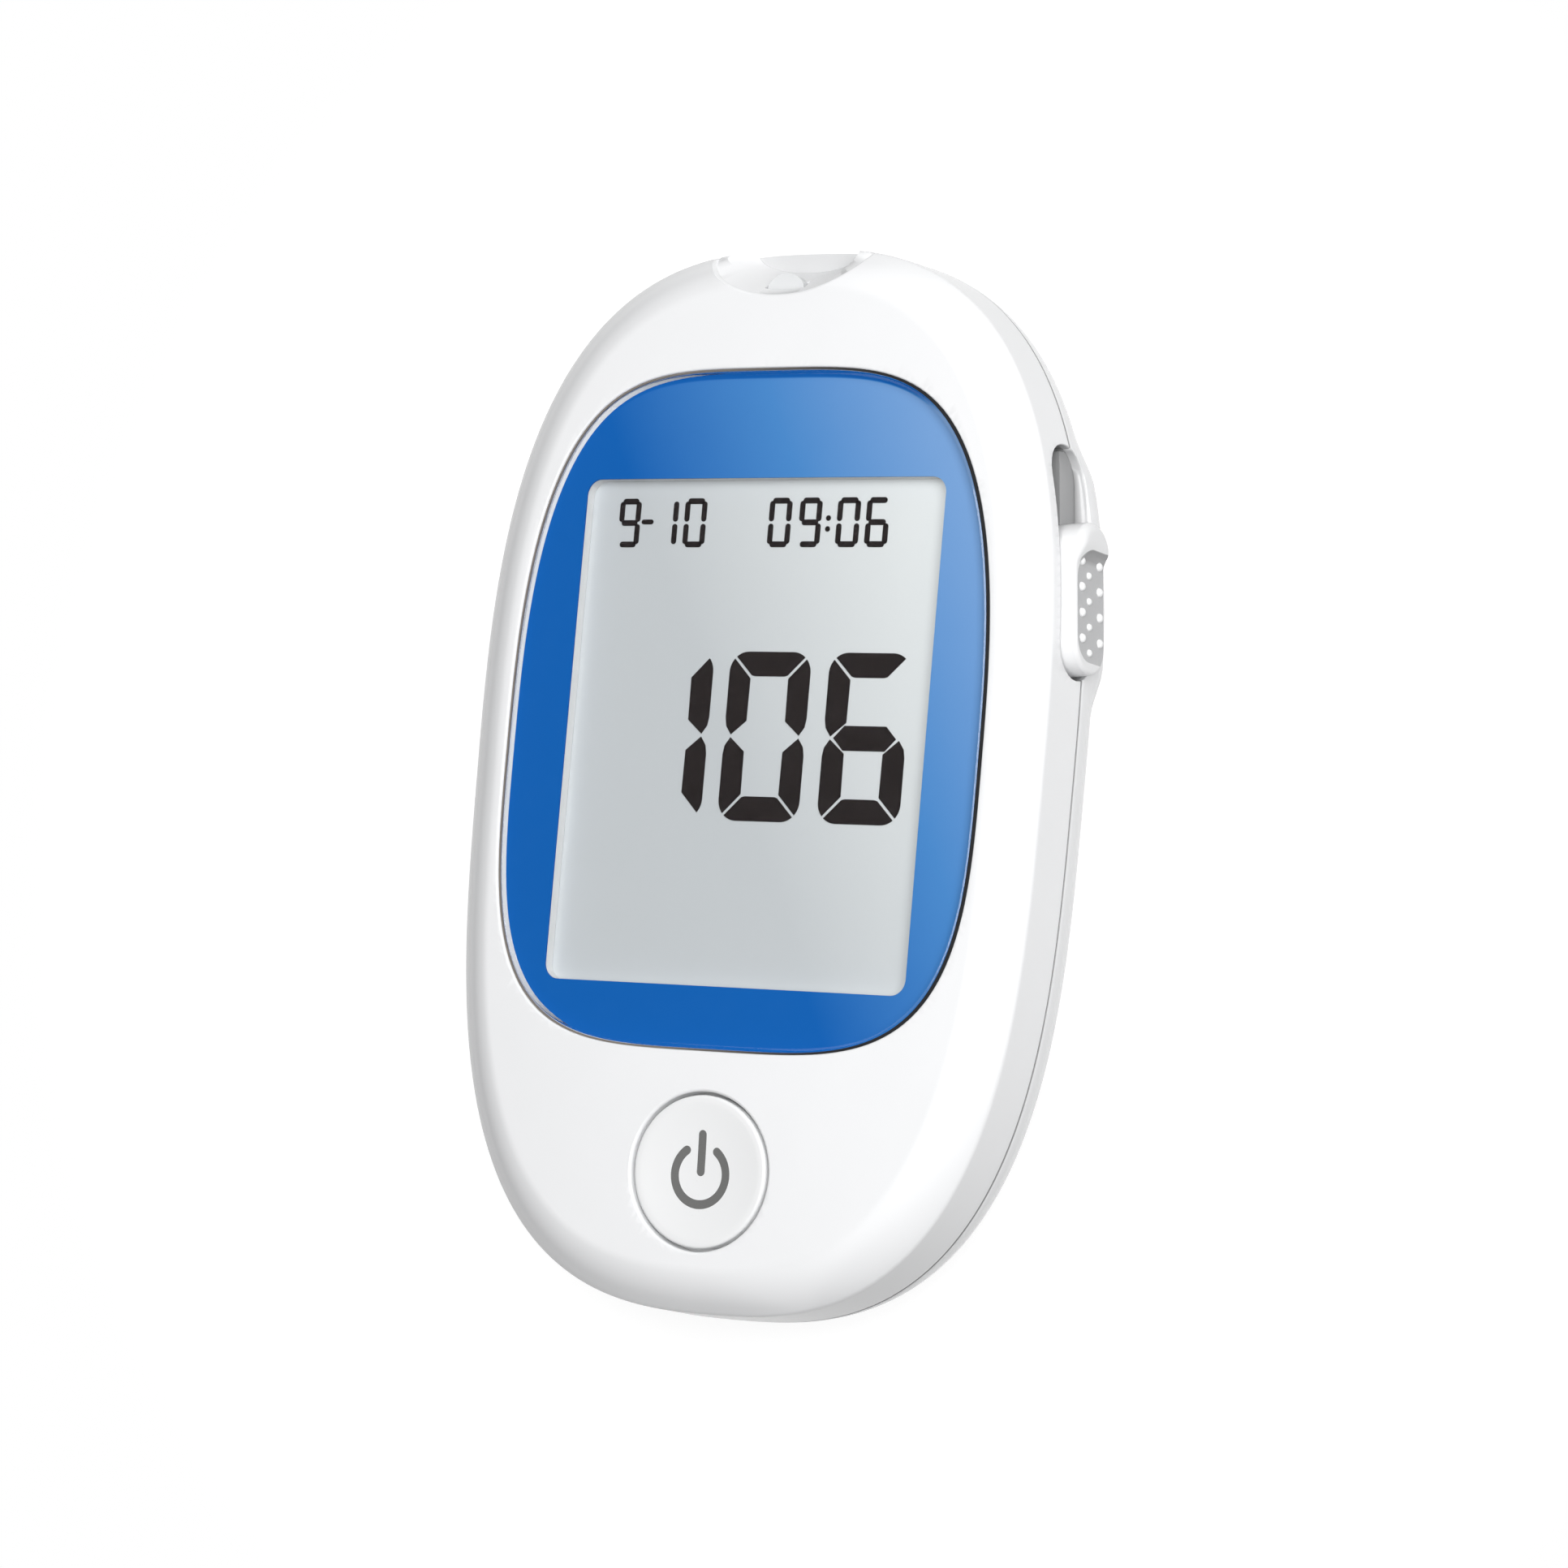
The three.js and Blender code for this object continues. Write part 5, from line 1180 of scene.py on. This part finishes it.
def soft_box(name, place, width, height, radiance):
    """Rectangular lamp of an even radiance, turned to face the object."""
    lamp = bpy.data.lights.new(name, "AREA")
    lamp.shape = "RECTANGLE"
    lamp.size, lamp.size_y = width, height
    lamp.energy = radiance * width * height * math.pi
    light = placed(name, lamp)
    light.location = place
    light.rotation_euler = (Vector(place) - AIM).to_track_quat("Z", "Y").to_euler()


def black_flag(name, corners):
    """Dark card beside the set that shades one side and is mirrored in the lens."""
    finish = Finish(name)
    felt = finish.between(finish.noise(60.0, 2.0), grey(0.012), grey(0.02))
    sheet = card(name, corners, finish.coat(base_color=felt, roughness=0.95, specular_ior_level=0.0))
    sheet.visible_camera = False


def photo_camera():
    """Camera at the place that the photograph was taken from."""
    data = bpy.data.cameras.new("camera")
    data.lens, data.sensor_width, data.sensor_fit, data.clip_start = 111.801, 36.0, "HORIZONTAL", 0.01
    camera = placed("camera", data)
    camera.matrix_world = Matrix.Translation(CAMERA_PLACE) @ Matrix(CAMERA_AXES).transposed().to_4x4()
    bpy.context.scene.camera = camera


# ---------------------------------------------------------------- finishes and assembly
FINISHES = {
    # the case's white carries painted shade in its joint line, slide slot and scoop floor
    "white_shell": moulded_plastic("shell_white", SHELL_WHITE, 0.22, shade_painter=case_shade),
    "button_white": moulded_plastic("button_white", (0.87, 0.875, 0.88, 1), 0.3),
    "clear_lens": lens_plastic(),
    "blue_print": print_blue(),
    "adhesive": moulded_plastic("adhesive_pale", (0.8, 0.8, 0.78, 1), 0.5),
    "display_grey": display_ground(),
    "display_glass": plain_glass("display_glass", (0.55, 0.6, 0.58, 1)),
    "foil": brushed_metal("foil", (0.75, 0.76, 0.78, 1), 0.4),
    "frame_white": moulded_plastic("spacer_white", (0.8, 0.8, 0.8, 1), 0.5),
    "black_plastic": moulded_plastic("black_resin", (0.018, 0.018, 0.02, 1), 0.55, 3000.0, 0.2, 0.1),
    "board_green": board_laminate(),
    "rubber_strip": moulded_plastic("rubber_strip", (0.05, 0.05, 0.055, 1), 0.7, 1500.0, 0.3, 0.15),
    "steel": brushed_metal("spring_steel", (0.62, 0.62, 0.63, 1), 0.28),
    "gold": brushed_metal("gilt_contact", (0.9, 0.62, 0.22, 1), 0.25),
    "cell_wrap": cell_wrap(),
    "port_grey": moulded_plastic("port_grey", (0.74, 0.75, 0.76, 1), 0.42),
    "rating_plate": moulded_plastic("rating_film", (0.72, 0.73, 0.75, 1), 0.3, 2500.0, 0.08, 0.02),
}
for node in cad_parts.values():
    for place in node.material_slots:
        place.material = FINISHES[place.material.name.split(".")[0]]


def fitted(piece, body, slot, *nodes, finish=None):
    """Gives a piece its finish, lets it ride on its body and stand for its nodes."""
    piece.data.materials.clear()
    piece.data.materials.append(finish or FINISHES[slot])
    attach(piece, body)
    if nodes:
        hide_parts(*nodes)
    return piece


segment_black = flat_ink("segment_black", (0.006, 0.003, 0.003, 1), 0.6)
mark_grey = flat_ink("mark_grey", srgb(112, 112, 111), 0.45)
# the pips are painted a lighter white than the slider's rim they are moulded with, a painted highlight
pip_white_highlit = moulded_plastic("pip_white_highlit", (0.95, 0.953, 0.957, 1), 0.3)
# the bead's colours are painted shade of the gap round the lens
bead = painted_shade_bead((0.2, 0.18, 0.16, 1), (0.02, 0.02, 0.022, 1))

fitted(front_skin(), "case", "white_shell", "front_cover")
fitted(rear_skin(), "case", "white_shell", "rear_cover")
fitted(door_skin(), "door", "white_shell", "battery_door")
fitted(display_lens(), "case", "clear_lens", "display_lens")
fitted(fascia(), "case", "blue_print", "fascia_film")
fitted(lens_joint(), "case", "adhesive", finish=bead)
fitted(window_frame(), "case", "frame_white")
fitted(display_numbers(), "case", "black_plastic", finish=segment_black)
fitted(power_button(), "button", "button_white", "power_button")
fitted(power_mark(), "button", "black_plastic", finish=mark_grey)
fitted(eject_slider(), "ejector", "button_white", "eject_slider", finish=pad_plastic())
fitted(slider_pips(pip_white_highlit), "ejector", "button_white", finish=pip_white_highlit)
coil = fitted(ejector_coil(), "case", "steel", "ejector_spring")
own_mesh(coil)
fitted(case_screws(FINISHES["steel"]), "case", "steel", "case_screw_1", "case_screw_2", "case_screw_3", "case_screw_4")

photo_camera()
studio_floor()
studio_world()
soft_box("top_box", (0.30, 0.08, 0.60), 0.5, 0.66, 5.45)
soft_box("side_box", (0.95, 0.15, 0.42), 0.5, 0.5, 0.2)
black_flag("lens_flag", [(-0.62, -0.34, 0.62), (-0.62, 0.48, 0.62), (-0.13, 0.48, 0.62), (-0.13, -0.34, 0.62)])
black_flag("left_flag", [(-0.10, -0.4, 0.01), (-0.10, 0.5, 0.01), (-0.47, 0.7, 0.64), (-0.47, -0.6, 0.64)])
black_flag("foot_flag", [(0.0, -0.11, 0.01), (0.4, -0.11, 0.01), (0.5, -0.34, 0.45), (0.0, -0.34, 0.45)])
